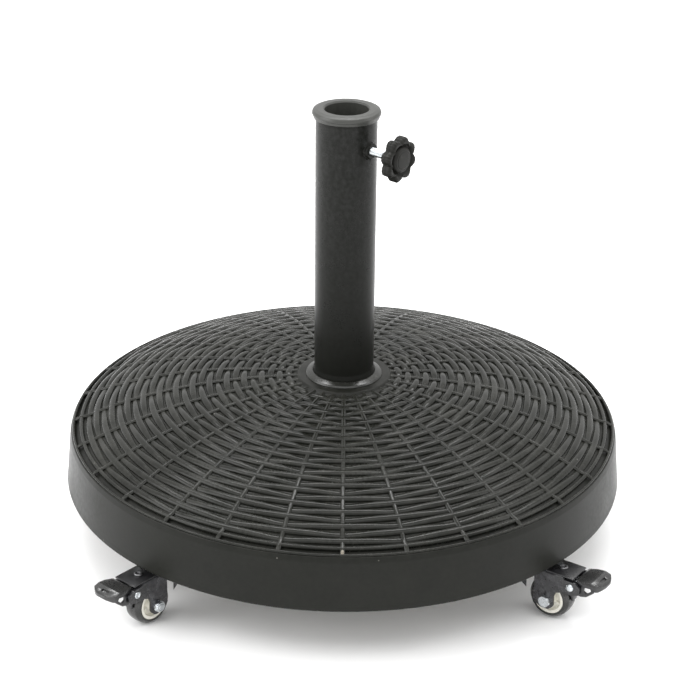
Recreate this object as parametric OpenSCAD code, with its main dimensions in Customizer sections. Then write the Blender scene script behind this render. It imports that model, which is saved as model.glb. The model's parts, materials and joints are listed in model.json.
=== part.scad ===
// Weighted parasol base: a round resin-clad concrete disc on four braked
// swivel casters, with an upright tube, a reducer collar and a clamp screw.
// Millimetres, +Z up, origin on the ground under the middle of the tube.
// The front is -Y; azimuths are measured from the front towards +X.

/* [Disc] */
// Diameter at the bottom edge
base_d = 520; // [420:5:620]
// Height of the outer wall, bottom edge to the border of the woven panel
wall_h = 50.8; // [40:0.2:80]
// How far the wall leans in from bottom to top
wall_draft = 5.5; // [0:0.5:12]
// Rise of the top from the border to the hub
dome_rise = 45.9; // [20:0.1:80]
// Resin thickness
skin_t = 6; // [4:0.5:10]

/* [Woven panel] */
// Number of woven rings
weave_rings = 25; // [8:1:40]
// Number of radial stakes
weave_stakes = 29; // [12:1:48]
// Azimuth of the first stake
stake_azimuth = 0.3; // [0:0.1:20]
// Height of the woven relief above its bed
relief_h = 3.4; // [1:0.1:6]

/* [Upright] */
// Outside diameter of the tube
tube_d = 55; // [45:0.5:70]
// Wall of the tube
tube_wall = 1.6; // [1:0.1:3]
// Top of the collar above the ground
total_h = 411.5; // [300:0.5:600]
// Bore of the collar, which takes a 38 mm pole
pole_bore_d = 39; // [30:0.5:48]
// Height of the collar's flange
collar_flange_h = 8; // [4:0.5:14]
// Length of the collar inside the tube
collar_spigot_h = 20; // [12:1:22]

/* [Clamp screw] */
// Azimuth of the clamp screw
clamp_azimuth = 50.5; // [0:0.5:359]
// Distance of the screw below the top of the collar
clamp_drop = 33.5; // [32:0.5:80]
// Screw diameter
stud_d = 8; // [6:1:12]
// Knob diameter over the lobes
knob_d = 40.6; // [30:0.2:60]
// Number of lobes
knob_lobes = 8; // [5:1:12]
// Knob face, distance beyond the tube's wall
knob_reach = 36.5; // [28.5:0.5:52.5]

/* [Casters] */
// Wheel diameter; the fork, lever and plate grow with it
wheel_d = 40; // [32:0.5:50]
// Wheel width
wheel_w = 18; // [14:0.5:22]
// Height of the mounting face above the top of a 40 mm wheel
caster_over = 16.6; // [14:0.1:22]
// Distance of the swivel axes in from the inside of the wall, with 40 mm wheels
caster_inset = 18; // [16:1:74]
// Azimuth of the first caster
caster_azimuth = -42.4; // [-90:0.1:90]
// How far the front left caster is turned from straight out
turn_1 = 1.5; // [-180:0.5:180]
// How far the front right caster is turned
turn_2 = 8; // [-180:0.5:180]
// How far the back right caster is turned
turn_3 = -4; // [-180:0.5:180]
// How far the back left caster is turned
turn_4 = 5; // [-180:0.5:180]

/* [Output] */
// Piece to show, or all

/* [Hidden] */
$fn = 96;
turns = [turn_1, turn_2, turn_3, turn_4];

// Disc levels and radii
rim_r = base_d / 2;
caster_k = wheel_d / 40;
caster_h = 40 + caster_over;
rim_z = caster_h * caster_k;
border_z = rim_z + wall_h;
border_r = rim_r - wall_draft - 1.6;
hub_z = border_z + dome_rise;
dome_power = 2.68;
ring_r = tube_d / 2 + 7.8;
boss_r = max(border_r * 0.174, ring_r + 8);
foot_r = tube_d / 2 + 0.1;
core_z = rim_z + 2;
cup_z = core_z + 9.4;
cup_r = tube_d / 2 + 7.5;
washer_r = tube_d / 2 + 2.5;
tube_z = cup_z + 8;
pad_half = 23;
wall_in_r = rim_r - wall_draft - skin_t;
wall_in_z = border_z - skin_t - 4;
wall_foot_r = rim_r - skin_t;
caster_ring_r = wall_foot_r - caster_inset * caster_k;

// Woven rings, first to last
ring_first = boss_r + 7.5;
ring_last = border_r - 15.4;
ring_gap = 0.91 * (ring_last - ring_first) / (weave_rings - 1);
ridge_w = min(2.9, 0.43 * ring_gap);

// Collar and clamp
tube_top = total_h - collar_flange_h + 4;
tube_in_r = tube_d / 2 - tube_wall;
bore_r = pole_bore_d / 2;
clamp_z = total_h - clamp_drop;
stud_r = stud_d / 2;
pad_s = bore_r + 0.9;
nut_s = tube_d / 2 + 2.6;
knob_t = 10;
knob_face = tube_d / 2 + knob_reach;
groove_r = knob_d / 2 - 5.7;
cap_r = groove_r - 3.4;
hub_back = knob_face - knob_t - 2.5;

// Caster with 40 mm wheels, in its own frame: u outwards from the swivel axis, v across, w up
wheel_r = 20;
tread_w = wheel_w / caster_k;
axle_u = 16.25;
axle_r = 3;
run = 0.05;
leg_in = tread_w / 2 + 2;
leg_t = 2;
leg_out = leg_in + leg_t;
plate_t = 2;
plate_half = 19;
screw_u = 13;
plate_w = caster_h - plate_t;
race_gap = 0.3;
crown_t = 2.5;
crown_top = plate_w - 5.7;
leaf_t = 1.2;
pin_u = 39;
pin_w = crown_top - 7.9;
lift = pin_w - 41;
cheek_out = leg_in - 1.2;
cheek_in = leg_in - 3;
pin_r = 2.5;
king_r = 4;
rim_in = 15;

// Height of the top of the weave at radius r
function dome(r) = hub_z - dome_rise * pow(r / border_r, dome_power);
function lerp(a, b, t) = a + (b - a) * t;
// Inside radius of the resin wall at height z
function wall_in_at(z) = lerp(wall_foot_r, wall_in_r, (z - rim_z) / (wall_in_z - rim_z));
// Radius of woven ring i; the rings crowd slightly towards the border
function weave_r(i) = let (t = i / (weave_rings - 1))
    ring_first + (ring_last - ring_first) * t * (1.09 - 0.09 * t);
// Points raised with the brake's pin
function raised(points) = [for (p = points) [p[0], p[1] + lift]];
function arc_pts(cx, cy, r, a0, a1, n) =
    [for (i = [0:n]) let (a = a0 + (a1 - a0) * i / n) [cx + r * cos(a), cy + r * sin(a)]];

// Place children at azimuth a, x pointing outwards
module at_azimuth(a)
{
    rotate([0, 0, a - 90])
        children();
}

// Put children in the frame of caster k
module caster_frame(k)
{
    at_azimuth(caster_azimuth + 90 * (k - 1))
        translate([caster_ring_r, 0, 0])
            rotate([0, 0, turns[k - 1]])
                scale(caster_k)
                    children();
}

// Put children in the clamp screw's frame: z outwards along the screw
module clamp_frame()
{
    at_azimuth(clamp_azimuth)
        translate([0, 0, clamp_z])
            rotate([0, 90, 0])
                children();
}

module tube_of(r_out, r_in, z0, z1)
{
    translate([0, 0, z0])
        difference()
        {
            cylinder(r = r_out, h = z1 - z0);
            translate([0, 0, -1])
                cylinder(r = r_in, h = z1 - z0 + 2);
        }
}

module rod(r, z0, z1)
{
    translate([0, 0, z0])
        cylinder(r = r, h = z1 - z0);
}

// A plate outlined in u and w, from v0 to v1
module upright_plate(v0, v1)
{
    translate([0, v1, 0])
        rotate([90, 0, 0])
            linear_extrude(height = v1 - v0)
                children();
}

// ---- Disc ----

// Bed under the weave, in short straight steps from the hub to the border
bed_n = 9;
bed = [for (i = [0:bed_n]) let (r = lerp(boss_r, border_r - 4, i / bed_n)) [r, dome(r) - relief_h]];
bed_under = [for (i = [bed_n:-1:0]) let (r = lerp(boss_r, border_r - skin_t, i / bed_n))
    [r, dome(r) - relief_h - skin_t]];

module base_shell()
{
    color([0.16, 0.16, 0.15])
        rotate_extrude()
            polygon(concat(
                [[foot_r, hub_z - relief_h - skin_t], [foot_r, hub_z + 2.6]],
                [[foot_r + 2.4, hub_z + 3.6], [ring_r - 2.6, hub_z + 4.4]],
                [[ring_r - 0.8, hub_z + 4.0], [ring_r, hub_z + 2.6], [ring_r + 0.6, hub_z + 1.0]],
                [[boss_r - 2.6, hub_z + 0.8], [boss_r - 0.8, hub_z + 0.2], [boss_r, hub_z - 1.2]],
                bed,
                [[border_r - 1.2, border_z + 0.6], [border_r + 0.6, border_z - 0.4]],
                arc_pts(rim_r - wall_draft - 6, border_z - 6.4, 6, 70, 6, 5),
                [[rim_r - 0.9, rim_z + 2], [rim_r, rim_z + 0.8], [rim_r - 0.6, rim_z]],
                [[wall_foot_r, rim_z], [wall_in_r, wall_in_z]],
                bed_under));
}

module ballast_core()
{
    color([0.45, 0.45, 0.43])
        difference()
        {
            union()
            {
                rotate_extrude()
                    polygon(concat(
                        [[foot_r, core_z], [foot_r, hub_z - relief_h - skin_t]],
                        [for (i = [len(bed_under) - 1:-1:0]) bed_under[i]],
                        [[wall_in_r, wall_in_z], [wall_in_at(core_z), core_z]]));
                rod(foot_r + 1, core_z, hub_z - relief_h - skin_t - 3);
                for (k = [1:4])
                    caster_pad(k);
            }
            rod(foot_r, tube_z, hub_z + 10);
            rod(6, core_z - 1, tube_z + 1);
            rod(cup_r, core_z - 1, cup_z);
            for (k = [1:4])
                caster_plate_frame(k)
                    screw_spots()
                        rod(2.1, caster_h - 1, caster_h + 16);
        }
}

// The plate is fixed, so its frame ignores how far the caster is turned
module caster_plate_frame(k)
{
    at_azimuth(caster_azimuth + 90 * (k - 1))
        translate([caster_ring_r, 0, 0])
            scale(caster_k)
                children();
}

// Raised pad that carries one caster's plate
module caster_pad(k)
{
    half = pad_half * caster_k;
    intersection()
    {
        at_azimuth(caster_azimuth + 90 * (k - 1))
            translate([caster_ring_r - half, -half, rim_z])
                cube([2 * half, 2 * half, core_z - rim_z + 0.5]);
        rod(wall_in_at(core_z + 0.5) - 0.1, rim_z - 1, core_z + 1);
    }
}

module screw_spots()
{
    for (u = [-screw_u, screw_u])
        for (v = [-screw_u, screw_u])
            translate([u, v, 0])
                children();
}

// Ridge of one woven ring: bed, crown and bed again
function ridge(r) = let (c = dome(r), b = c - relief_h * 25 / 34, w = ridge_w)
    [[r - w, b + relief_h * 9 / 34], [r - w * 0.4, c], [r + w * 0.4, c], [r + w, b]];

module woven_panel()
{
    color([0.19, 0.19, 0.18])
        union()
        {
            rotate_extrude()
                polygon(concat(
                    [for (i = [bed_n:-1:0]) bed[i]],
                    [[boss_r, hub_z - 1.4], [boss_r + 2, hub_z - 1.2]],
                    [for (i = [0:weave_rings - 1]) each ridge(weave_r(i))],
                    [[border_r - 11.6, dome(border_r - 11) - 1.6]],
                    [[border_r - 9.6, dome(border_r - 9.6) + 0.6]],
                    [[border_r - 5, dome(border_r - 5) + 0.8], [border_r - 2.4, border_z + 0.8]],
                    [[border_r - 1.2, border_z + 0.6]]));
            for (k = [0:weave_stakes - 1])
                at_azimuth(stake_azimuth + k * 360 / weave_stakes)
                    stake();
        }
}

// One radial stake, a thin bar bent to the dome
module stake()
{
    n = 8;
    a = boss_r + 1;
    b = border_r - 4;
    upright_plate(-1.4, 1.4)
        polygon(concat(
            [for (i = [0:n]) let (r = lerp(a, b, i / n)) [r, dome(r) + 0.2]],
            [for (i = [n:-1:0]) let (r = lerp(a, b, i / n)) [r, dome(r) - relief_h + 0.6]]));
}

// ---- Upright ----

module upright_tube()
{
    color([0.13, 0.13, 0.12])
        difference()
        {
            tube_of(tube_d / 2, tube_in_r, tube_z, tube_top);
            clamp_frame()
                rod(stud_r + 0.6, 10, 60);
        }
}

module tube_plug()
{
    color([0.3, 0.3, 0.3])
        tube_of(tube_in_r, 5, tube_z + 2, tube_z + 8);
}

module fixing_bolt()
{
    color([0.7, 0.71, 0.72])
        union()
        {
            rod(5, cup_z - 9.4 + 6.4, tube_z + 12);
            translate([0, 0, cup_z - 9.4])
                cylinder(r = 17 / sqrt(3), h = 6.4, $fn = 6);
        }
}

module fixing_washer()
{
    color([0.68, 0.69, 0.7])
        tube_of(washer_r, 5.4, cup_z - 3, cup_z);
}

module collar()
{
    f0 = total_h - collar_flange_h;
    color([0.2, 0.2, 0.2])
        rotate_extrude()
            polygon([
                [bore_r, tube_top - collar_spigot_h],
                [tube_in_r - 0.02, tube_top - collar_spigot_h],
                [tube_in_r - 0.02, tube_top],
                [tube_d / 2 + 0.05, tube_top],
                [tube_d / 2 + 0.05, f0],
                [tube_d / 2 + 2, f0],
                [tube_d / 2 + 2.3, f0 + 2.8],
                [tube_d / 2 + 3.2, f0 + 3.1],
                [tube_d / 2 + 3.2, f0 + 5],
                [tube_d / 2 + 2.7, f0 + 6.3],
                [tube_d / 2 + 1.6, f0 + 7.3],
                [tube_d / 2, f0 + 7.8],
                [tube_d / 2 - 2, total_h],
                [bore_r + 0.9, total_h],
                [bore_r, total_h - 0.9]]);
}

// ---- Clamp screw ----

module weld_nut()
{
    color([0.12, 0.12, 0.12])
        difference()
        {
            clamp_frame()
                tube_of(7.4, stud_r + run, tube_d / 2 - 1.4, nut_s);
            rod(tube_d / 2, clamp_z - 20, clamp_z + 20);
        }
}

// Nylon foot that slides in and out with the screw but doesn't turn
module clamp_pad()
{
    color([0.85, 0.85, 0.8])
        clamp_frame()
            difference()
            {
                rod(stud_r, pad_s, pad_s + 4.2);
                rod(2.5 + run, pad_s + 1.6, pad_s + 5);
            }
}

module clamp_stud()
{
    color([0.75, 0.77, 0.78])
        clamp_frame()
            union()
            {
                rod(2.5, pad_s + 2, pad_s + 5);
                rod(stud_r, pad_s + 4.6, knob_face - 5);
            }
}

module knob()
{
    r0 = knob_d / 2;
    lobe_r = r0 * 0.26;
    color([0.14, 0.14, 0.13])
        clamp_frame()
            difference()
            {
                union()
                {
                    translate([0, 0, knob_face - knob_t])
                        linear_extrude(height = knob_t - 1.2)
                            knob_outline(r0, lobe_r);
                    translate([0, 0, knob_face - 2])
                        linear_extrude(height = 2)
                            knob_outline(r0 - 1.2, lobe_r - 0.4);
                    rod(8, hub_back, knob_face - knob_t + 1);
                }
                rod(stud_r, hub_back - 1, knob_face - 5);
                translate([0, 0, knob_face - 4])
                    cylinder(r1 = groove_r - 2.2, r2 = groove_r, h = 4.1);
            }
}

module knob_outline(r, lobe_r)
{
    union()
    {
        circle(r = r * 0.86);
        for (i = [0:knob_lobes - 1])
            rotate((i + 0.35) * 360 / knob_lobes)
                translate([r - lobe_r, 0])
                    circle(r = lobe_r);
    }
}

module knob_cap()
{
    color([0.16, 0.16, 0.15])
        clamp_frame()
            rotate_extrude()
                polygon(concat(
                    [[0, knob_face - 4], [cap_r, knob_face - 4], [cap_r, knob_face - 2.2]],
                    [for (i = [1:5]) [cap_r * cos(i * 18), knob_face - 2.2 + 3.4 * sin(i * 18)]]));
}

// ---- Casters ----

module kingpins()
{
    color([0.3, 0.3, 0.3])
        for (k = [1:4])
            caster_plate_frame(k)
                union()
                {
                    rod(king_r, crown_top - crown_t - 0.6, plate_w + plate_t - 0.2);
                    rod(7, crown_top - crown_t - 2.9, crown_top - crown_t - 0.4);
                }
}

module plate_screws()
{
    color([0.7, 0.71, 0.72])
        for (k = [1:4])
            caster_plate_frame(k)
                screw_spots()
                    union()
                    {
                        rod(2, plate_w - 0.5, caster_h + 14);
                        rod(3.7, plate_w - 2, plate_w);
                    }
}

module caster_plate(k)
{
    color([0.12, 0.12, 0.12])
        caster_plate_frame(k)
            difference()
            {
                union()
                {
                    translate([-plate_half, -plate_half, plate_w])
                        cube([2 * plate_half, 2 * plate_half, plate_t]);
                    rod(13.5, plate_w - 2.8, plate_w + 0.5);
                }
                rod(king_r, plate_w - 5, caster_h + 1);
                rod(9, plate_w - 5, plate_w - 0.6);
                screw_spots()
                    rod(2.3, plate_w - 1, caster_h + 1);
            }
}

// Outline of one fork leg, in u and w
module leg_outline()
{
    polygon(concat(
        [[-13, crown_top - 0.2], [-13.2, crown_top - 7], [-9.5, 30.5], [2.6, 21.2]],
        arc_pts(axle_u - 2.4, wheel_r, 9.6, 190, 262, 4),
        arc_pts(axle_u, wheel_r, 8, 280, 355, 5),
        [[axle_u + 8, 25], [axle_u + 9.2, 29.4], [axle_u + 13, 32.6 + lift], [34, 33.8 + lift]],
        raised([[41.5, 34], [46, 35.2], [48, 37.6], [48, 43], [46, 45.4], [42, 46.2], [32, 46.4]]),
        [[30, crown_top - 0.2]]));
}

module fork(k)
{
    color([0.12, 0.12, 0.12])
        caster_frame(k)
            difference()
            {
                union()
                {
                    for (s = [-1, 1])
                        upright_plate(min(s * leg_in, s * leg_out), max(s * leg_in, s * leg_out))
                            leg_outline();
                    translate([0, 0, crown_top - crown_t])
                        linear_extrude(height = crown_t)
                            union()
                            {
                                circle(r = 15.5);
                                translate([0, -leg_out])
                                    square([30, 2 * leg_out]);
                            }
                    fork_skirt();
                    rod(13.5, crown_top - 0.5, plate_w - 2.8 - race_gap);
                }
                rod(king_r + run, crown_top - 10, plate_w);
                rod(9.5, crown_top, plate_w);
                translate([axle_u, 0, wheel_r])
                    rotate([90, 0, 0])
                        cylinder(r = axle_r, h = 60, center = true);
                translate([pin_u, 0, pin_w])
                    rotate([90, 0, 0])
                        cylinder(r = pin_r, h = 60, center = true);
                translate([25.4, 0, 0])
                    rod(2, crown_top - 6, crown_top + 1);
            }
}

// Front of the fork, wrapped round below the crown
module fork_skirt()
{
    difference()
    {
        tube_of(15.5, 13.5, crown_top - 9, crown_top - 0.5);
        translate([-3, -20, crown_top - 20])
            cube([30, 40, 30]);
    }
}

module across(r, v0, v1)
{
    rotate([-90, 0, 0])
        rod(r, v0, v1);
}

module axle_bolt(k)
{
    color([0.72, 0.73, 0.74])
        caster_frame(k)
            translate([axle_u, 0, wheel_r])
                union()
                {
                    across(axle_r, -leg_out - 1, leg_out + 6);
                    rotate([-90, 0, 0])
                        translate([0, 0, -leg_out - 4])
                            rotate([0, 0, 12])
                                cylinder(r = 10 / sqrt(3), h = 4, $fn = 6);
                }
}

module axle_nut(k)
{
    color([0.72, 0.73, 0.74])
        caster_frame(k)
            translate([axle_u, 0, wheel_r])
                rotate([-90, 0, 0])
                    difference()
                    {
                        union()
                        {
                            translate([0, 0, leg_out])
                                rotate([0, 0, 18])
                                    cylinder(r = 10 / sqrt(3), h = 3.8, $fn = 6);
                            rod(4.6, leg_out + 3.7, leg_out + 5.2);
                        }
                        rod(axle_r, leg_out - 1, leg_out + 8);
                    }
}

module brake_pin(k)
{
    color([0.75, 0.76, 0.76])
        caster_frame(k)
            translate([pin_u, 0, pin_w])
                union()
                {
                    across(pin_r, -leg_out - 1, leg_out + 0.6);
                    rotate([-90, 0, 0])
                        rotate_extrude()
                            polygon([[0, -leg_out - 2.2], [2, -leg_out - 2], [3.4, -leg_out - 1.2],
                                     [3.9, -leg_out], [0, -leg_out]]);
                    rotate([-90, 0, 0])
                        tube_of(3.2, 1.5, leg_out, leg_out + 1);
                }
}

module leaf(k)
{
    color([0.1, 0.1, 0.1])
        caster_frame(k)
            difference()
            {
                translate([13, 0.8 - leg_out, crown_top])
                    cube([28.6, 2 * leg_out - 1.6, leaf_t]);
                rod(14.8, crown_top - 1, crown_top + 3);
                translate([25.4, 0, 0])
                    rod(2, crown_top - 6, crown_top + 3);
            }
}

module leaf_screw(k)
{
    color([0.45, 0.45, 0.45])
        caster_frame(k)
            translate([25.4, 0, 0])
                difference()
                {
                    union()
                    {
                        rod(2, crown_top - crown_t - 1, crown_top + leaf_t + 0.2);
                        rod(3.8, crown_top + leaf_t, crown_top + leaf_t + 1.7);
                    }
                    translate([0, 0, crown_top + leaf_t + 0.5])
                        cylinder(r = 2.1, h = 3, $fn = 6);
                }
}

module hub(k)
{
    color([0.9, 0.89, 0.84])
        caster_frame(k)
            translate([axle_u, 0, wheel_r])
                rotate([-90, 0, 0])
                    rotate_extrude()
                        polygon([
                            [axle_r + run, -leg_in + 0.4], [6.5, -leg_in + 0.4],
                            [7, -tread_w / 2 + 5], [11.4, -tread_w / 2 + 5],
                            [12.2, -tread_w / 2 + 0.4], [rim_in, -tread_w / 2 + 0.1],
                            [rim_in, tread_w / 2 - 0.1], [12.2, tread_w / 2 - 0.4],
                            [11.4, tread_w / 2 - 5], [7, tread_w / 2 - 5],
                            [6.5, leg_in - 0.4], [axle_r + run, leg_in - 0.4]]);
}

module tyre(k)
{
    h = tread_w / 2;
    c = 4;
    color([0.08, 0.08, 0.08])
        caster_frame(k)
            translate([axle_u, 0, wheel_r])
                rotate([-90, 0, 0])
                    rotate_extrude()
                        difference()
                        {
                            union()
                            {
                                translate([rim_in, -h])
                                    square([wheel_r - rim_in - c + 0.01, 2 * h]);
                                translate([rim_in, -h + c])
                                    square([wheel_r - rim_in, 2 * (h - c)]);
                                for (s = [-1, 1])
                                    translate([wheel_r - c, s * (h - c)])
                                        circle(r = c);
                            }
                            translate([-1, -h - 1])
                                square([rim_in + 1, 2 * h + 2]);
                        }
}

// Outline of the lever's cheeks
module cheek_outline()
{
    difference()
    {
        polygon(concat(
            arc_pts(pin_u, pin_w, 6, 100, 235, 6),
            raised([[40, 34.6], [48, 33.8], [53.5, 35], [60.5, 41], [62.5, 44.4]]),
            raised([[62.5, 49.4], [45, 48.6], [43.2, 46.4]])));
        polygon(raised([[50.6, 40], [54, 38.6], [58, 42.2], [57.6, 44.2], [51.6, 43.4]]));
    }
}

module lever(k)
{
    a0 = 6;
    a1 = 39;
    color([0.1, 0.1, 0.1])
        caster_frame(k)
            difference()
            {
                union()
                {
                    for (s = [-1, 1])
                        upright_plate(min(s * cheek_in, s * cheek_out), max(s * cheek_in, s * cheek_out))
                            cheek_outline();
                    upright_plate(-cheek_in - 0.5, cheek_in + 0.5)
                        polygon(raised([[45.4, 46.6], [62.5, 47.6], [62.5, 49.4], [45, 48.6]]));
                    upright_plate(-cheek_in - 0.5, cheek_in + 0.5)
                        polygon(raised([[33.6, 38.4], [36.8, 35.6], [38, 37], [34.8, 40.8]]));
                    upright_plate(-3.6, 3.6)
                        polygon(concat(
                            arc_pts(axle_u, wheel_r, wheel_r + 0.4, a0, a1, 5),
                            arc_pts(axle_u, wheel_r, wheel_r + 2.4, a1, a0, 5)));
                    upright_plate(-3.6, 3.6)
                        polygon([[32.4, 34.4], [34.4, 33.2], [38, 37 + lift], [34.8, 39.6 + lift]]);
                }
                translate([pin_u, 0, pin_w])
                    rotate([90, 0, 0])
                        cylinder(r = pin_r + run, h = 40, center = true);
            }
}

// Tread of the pedal, seen from above, with a rounded outer end
module pedal_plan()
{
    half = cheek_out + 0.8;
    flare = half + 2.6;
    polygon(concat(
        [[44, -half], [47, -half - 0.6], [52, -flare]],
        [for (p = arc_pts(50.6, 0, 19.2, -42, 42, 10)) [p[0], p[1] * flare / 13.2]],
        [[52, flare], [47, half + 0.6], [44, half]]));
}

module pedal(k)
{
    color([0.11, 0.11, 0.11])
        caster_frame(k)
            difference()
            {
                intersection()
                {
                    translate([0, 0, 40 + lift])
                        linear_extrude(height = 16)
                            pedal_plan();
                    upright_plate(-tread_w, tread_w)
                        polygon(raised([[44.4, 49.2], [44.8, 50.8], [46, 51.1], [52, 51.8], [59.7, 52.6],
                                        [69.9, 49], [69.9, 47.2], [66, 45.2], [63, 45.4],
                                        [62.5, 47], [62.5, 49.4], [45, 48.6]]));
                }
                translate([61, -5, 44 + lift])
                    multmatrix([[1, 0, 0, 0], [0, 1, 0, 0], [-0.353, 0, 1, 6.6], [0, 0, 0, 1]])
                        cube([4.4, 10, 4]);
            }
}

// ---- Nodes ----

base_shell();
ballast_core();
woven_panel();
upright_tube();
tube_plug();
fixing_bolt();
fixing_washer();
collar();
weld_nut();
clamp_pad();
clamp_stud();
knob();
knob_cap();
kingpins();
plate_screws();
caster_plate(1);  // c1_plate
fork(1);  // c1_fork
axle_bolt(1);  // c1_axle_bolt
axle_nut(1);  // c1_axle_nut
brake_pin(1);  // c1_brake_pin
leaf(1);  // c1_leaf
leaf_screw(1);  // c1_leaf_screw
hub(1);  // c1_hub
tyre(1);  // c1_tyre
lever(1);  // c1_lever
pedal(1);  // c1_pedal
caster_plate(2);  // c2_plate
fork(2);  // c2_fork
axle_bolt(2);  // c2_axle_bolt
axle_nut(2);  // c2_axle_nut
brake_pin(2);  // c2_brake_pin
leaf(2);  // c2_leaf
leaf_screw(2);  // c2_leaf_screw
hub(2);  // c2_hub
tyre(2);  // c2_tyre
lever(2);  // c2_lever
pedal(2);  // c2_pedal
caster_plate(3);  // c3_plate
fork(3);  // c3_fork
axle_bolt(3);  // c3_axle_bolt
axle_nut(3);  // c3_axle_nut
brake_pin(3);  // c3_brake_pin
leaf(3);  // c3_leaf
leaf_screw(3);  // c3_leaf_screw
hub(3);  // c3_hub
tyre(3);  // c3_tyre
lever(3);  // c3_lever
pedal(3);  // c3_pedal
caster_plate(4);  // c4_plate
fork(4);  // c4_fork
axle_bolt(4);  // c4_axle_bolt
axle_nut(4);  // c4_axle_nut
brake_pin(4);  // c4_brake_pin
leaf(4);  // c4_leaf
leaf_screw(4);  // c4_leaf_screw
hub(4);  // c4_hub
tyre(4);  // c4_tyre
lever(4);  // c4_lever
pedal(4);  // c4_pedal
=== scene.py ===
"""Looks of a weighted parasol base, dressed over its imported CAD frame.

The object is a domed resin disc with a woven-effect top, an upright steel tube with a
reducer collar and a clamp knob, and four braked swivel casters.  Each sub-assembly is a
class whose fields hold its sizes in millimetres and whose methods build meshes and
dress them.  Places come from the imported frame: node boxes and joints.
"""

import json
import logging
import math
from dataclasses import dataclass, field
from enum import Enum
from typing import Callable, Iterable, Optional, Sequence, Union

import bmesh
import bpy
import numpy as np
from mathutils import Matrix, Vector


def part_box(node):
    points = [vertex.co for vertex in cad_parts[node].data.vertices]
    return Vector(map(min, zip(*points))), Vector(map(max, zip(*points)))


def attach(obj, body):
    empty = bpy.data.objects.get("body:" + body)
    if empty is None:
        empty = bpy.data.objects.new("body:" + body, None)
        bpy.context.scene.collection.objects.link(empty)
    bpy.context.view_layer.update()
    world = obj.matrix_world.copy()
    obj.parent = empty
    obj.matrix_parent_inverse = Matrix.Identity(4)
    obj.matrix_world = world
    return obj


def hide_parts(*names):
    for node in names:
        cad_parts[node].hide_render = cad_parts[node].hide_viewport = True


LOG = logging.getLogger("parasol_base")
MM = 0.001
TAU = 2.0 * math.pi

Point2 = tuple[float, float]
Point3 = tuple[float, float, float]

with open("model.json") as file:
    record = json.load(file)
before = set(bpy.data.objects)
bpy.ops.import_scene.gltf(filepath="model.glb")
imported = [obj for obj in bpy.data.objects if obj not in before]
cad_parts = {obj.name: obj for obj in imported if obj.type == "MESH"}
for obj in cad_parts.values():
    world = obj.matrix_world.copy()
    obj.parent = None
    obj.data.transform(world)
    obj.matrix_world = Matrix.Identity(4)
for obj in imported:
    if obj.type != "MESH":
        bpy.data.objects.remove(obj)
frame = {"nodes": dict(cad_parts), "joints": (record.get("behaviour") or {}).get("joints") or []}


# ---------------------------------------------------------------------------
# Outlines
# ---------------------------------------------------------------------------


def fillet(corners: Sequence[tuple[float, ...]], closed: bool = True, steps: int = 5) -> list[Point2]:
    """Round the corners of a polyline.

    Args:
        corners: (x, y) or (x, y, radius) for each corner.
        closed: whether the last corner joins the first.
        steps: segments along each rounded corner.

    Returns:
        The outline's points.
    """
    out: list[Point2] = []
    count = len(corners)
    for i, corner in enumerate(corners):
        here = Vector(corner[:2])
        radius = corner[2] if len(corner) > 2 else 0.0
        if radius <= 0.0 or (not closed and i in (0, count - 1)):
            out.append((here.x, here.y))
            continue
        before = Vector(corners[(i - 1) % count][:2]) - here
        after = Vector(corners[(i + 1) % count][:2]) - here
        angle = before.angle(after)
        if angle > math.pi - 0.03:
            out.append((here.x, here.y))
            continue
        reach = min(radius / math.tan(angle / 2), 0.48 * before.length, 0.48 * after.length)
        start = here + before.normalized() * reach
        end = here + after.normalized() * reach
        for s in range(steps + 1):
            t = s / steps
            p = start.lerp(here, t).lerp(here.lerp(end, t), t)
            out.append((p.x, p.y))
    return out


def arc(centre: Point2, radius: float, start: float, end: float, steps: int) -> list[Point2]:
    """Points on an arc, angles in degrees."""
    out = []
    for i in range(steps + 1):
        a = math.radians(start + (end - start) * i / steps)
        out.append((centre[0] + radius * math.cos(a), centre[1] + radius * math.sin(a)))
    return out


def heading(azimuth: float) -> Vector:
    """Unit vector at an azimuth in degrees, measured from the front towards +X."""
    a = math.radians(azimuth)
    return Vector((math.sin(a), -math.cos(a), 0.0))


# ---------------------------------------------------------------------------
# Finishes
# ---------------------------------------------------------------------------


Feed = Union[float, bpy.types.NodeSocket]


class Tree:
    """Short hand for building one node tree."""

    def __init__(self, tree: bpy.types.NodeTree) -> None:
        """Start at the left of a node tree."""
        self.tree = tree
        self.column = 0

    def add(self, kind: str, values: Optional[dict] = None, **props) -> bpy.types.Node:
        """Add a node.

        Args:
            kind: Blender's identifier of the node type.
            values: socket name or index to constant or to the socket that feeds it.
            **props: properties set on the node.

        Returns:
            The new node.
        """
        node = self.tree.nodes.new(kind)
        node.location = (self.column * 180.0, 0.0)
        self.column += 1
        for key, value in props.items():
            setattr(node, key, value)
        for key, value in (values or {}).items():
            socket = node.inputs[key]
            if isinstance(value, bpy.types.NodeSocket):
                self.tree.links.new(value, socket)
            else:
                socket.default_value = value
        return node

    def math(self, op: str, a: Feed, b: Feed = 0.0, c: Feed = 0.0) -> bpy.types.NodeSocket:
        """A math node's output socket."""
        return self.add("ShaderNodeMath", {0: a, 1: b, 2: c}, operation=op).outputs[0]


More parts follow.
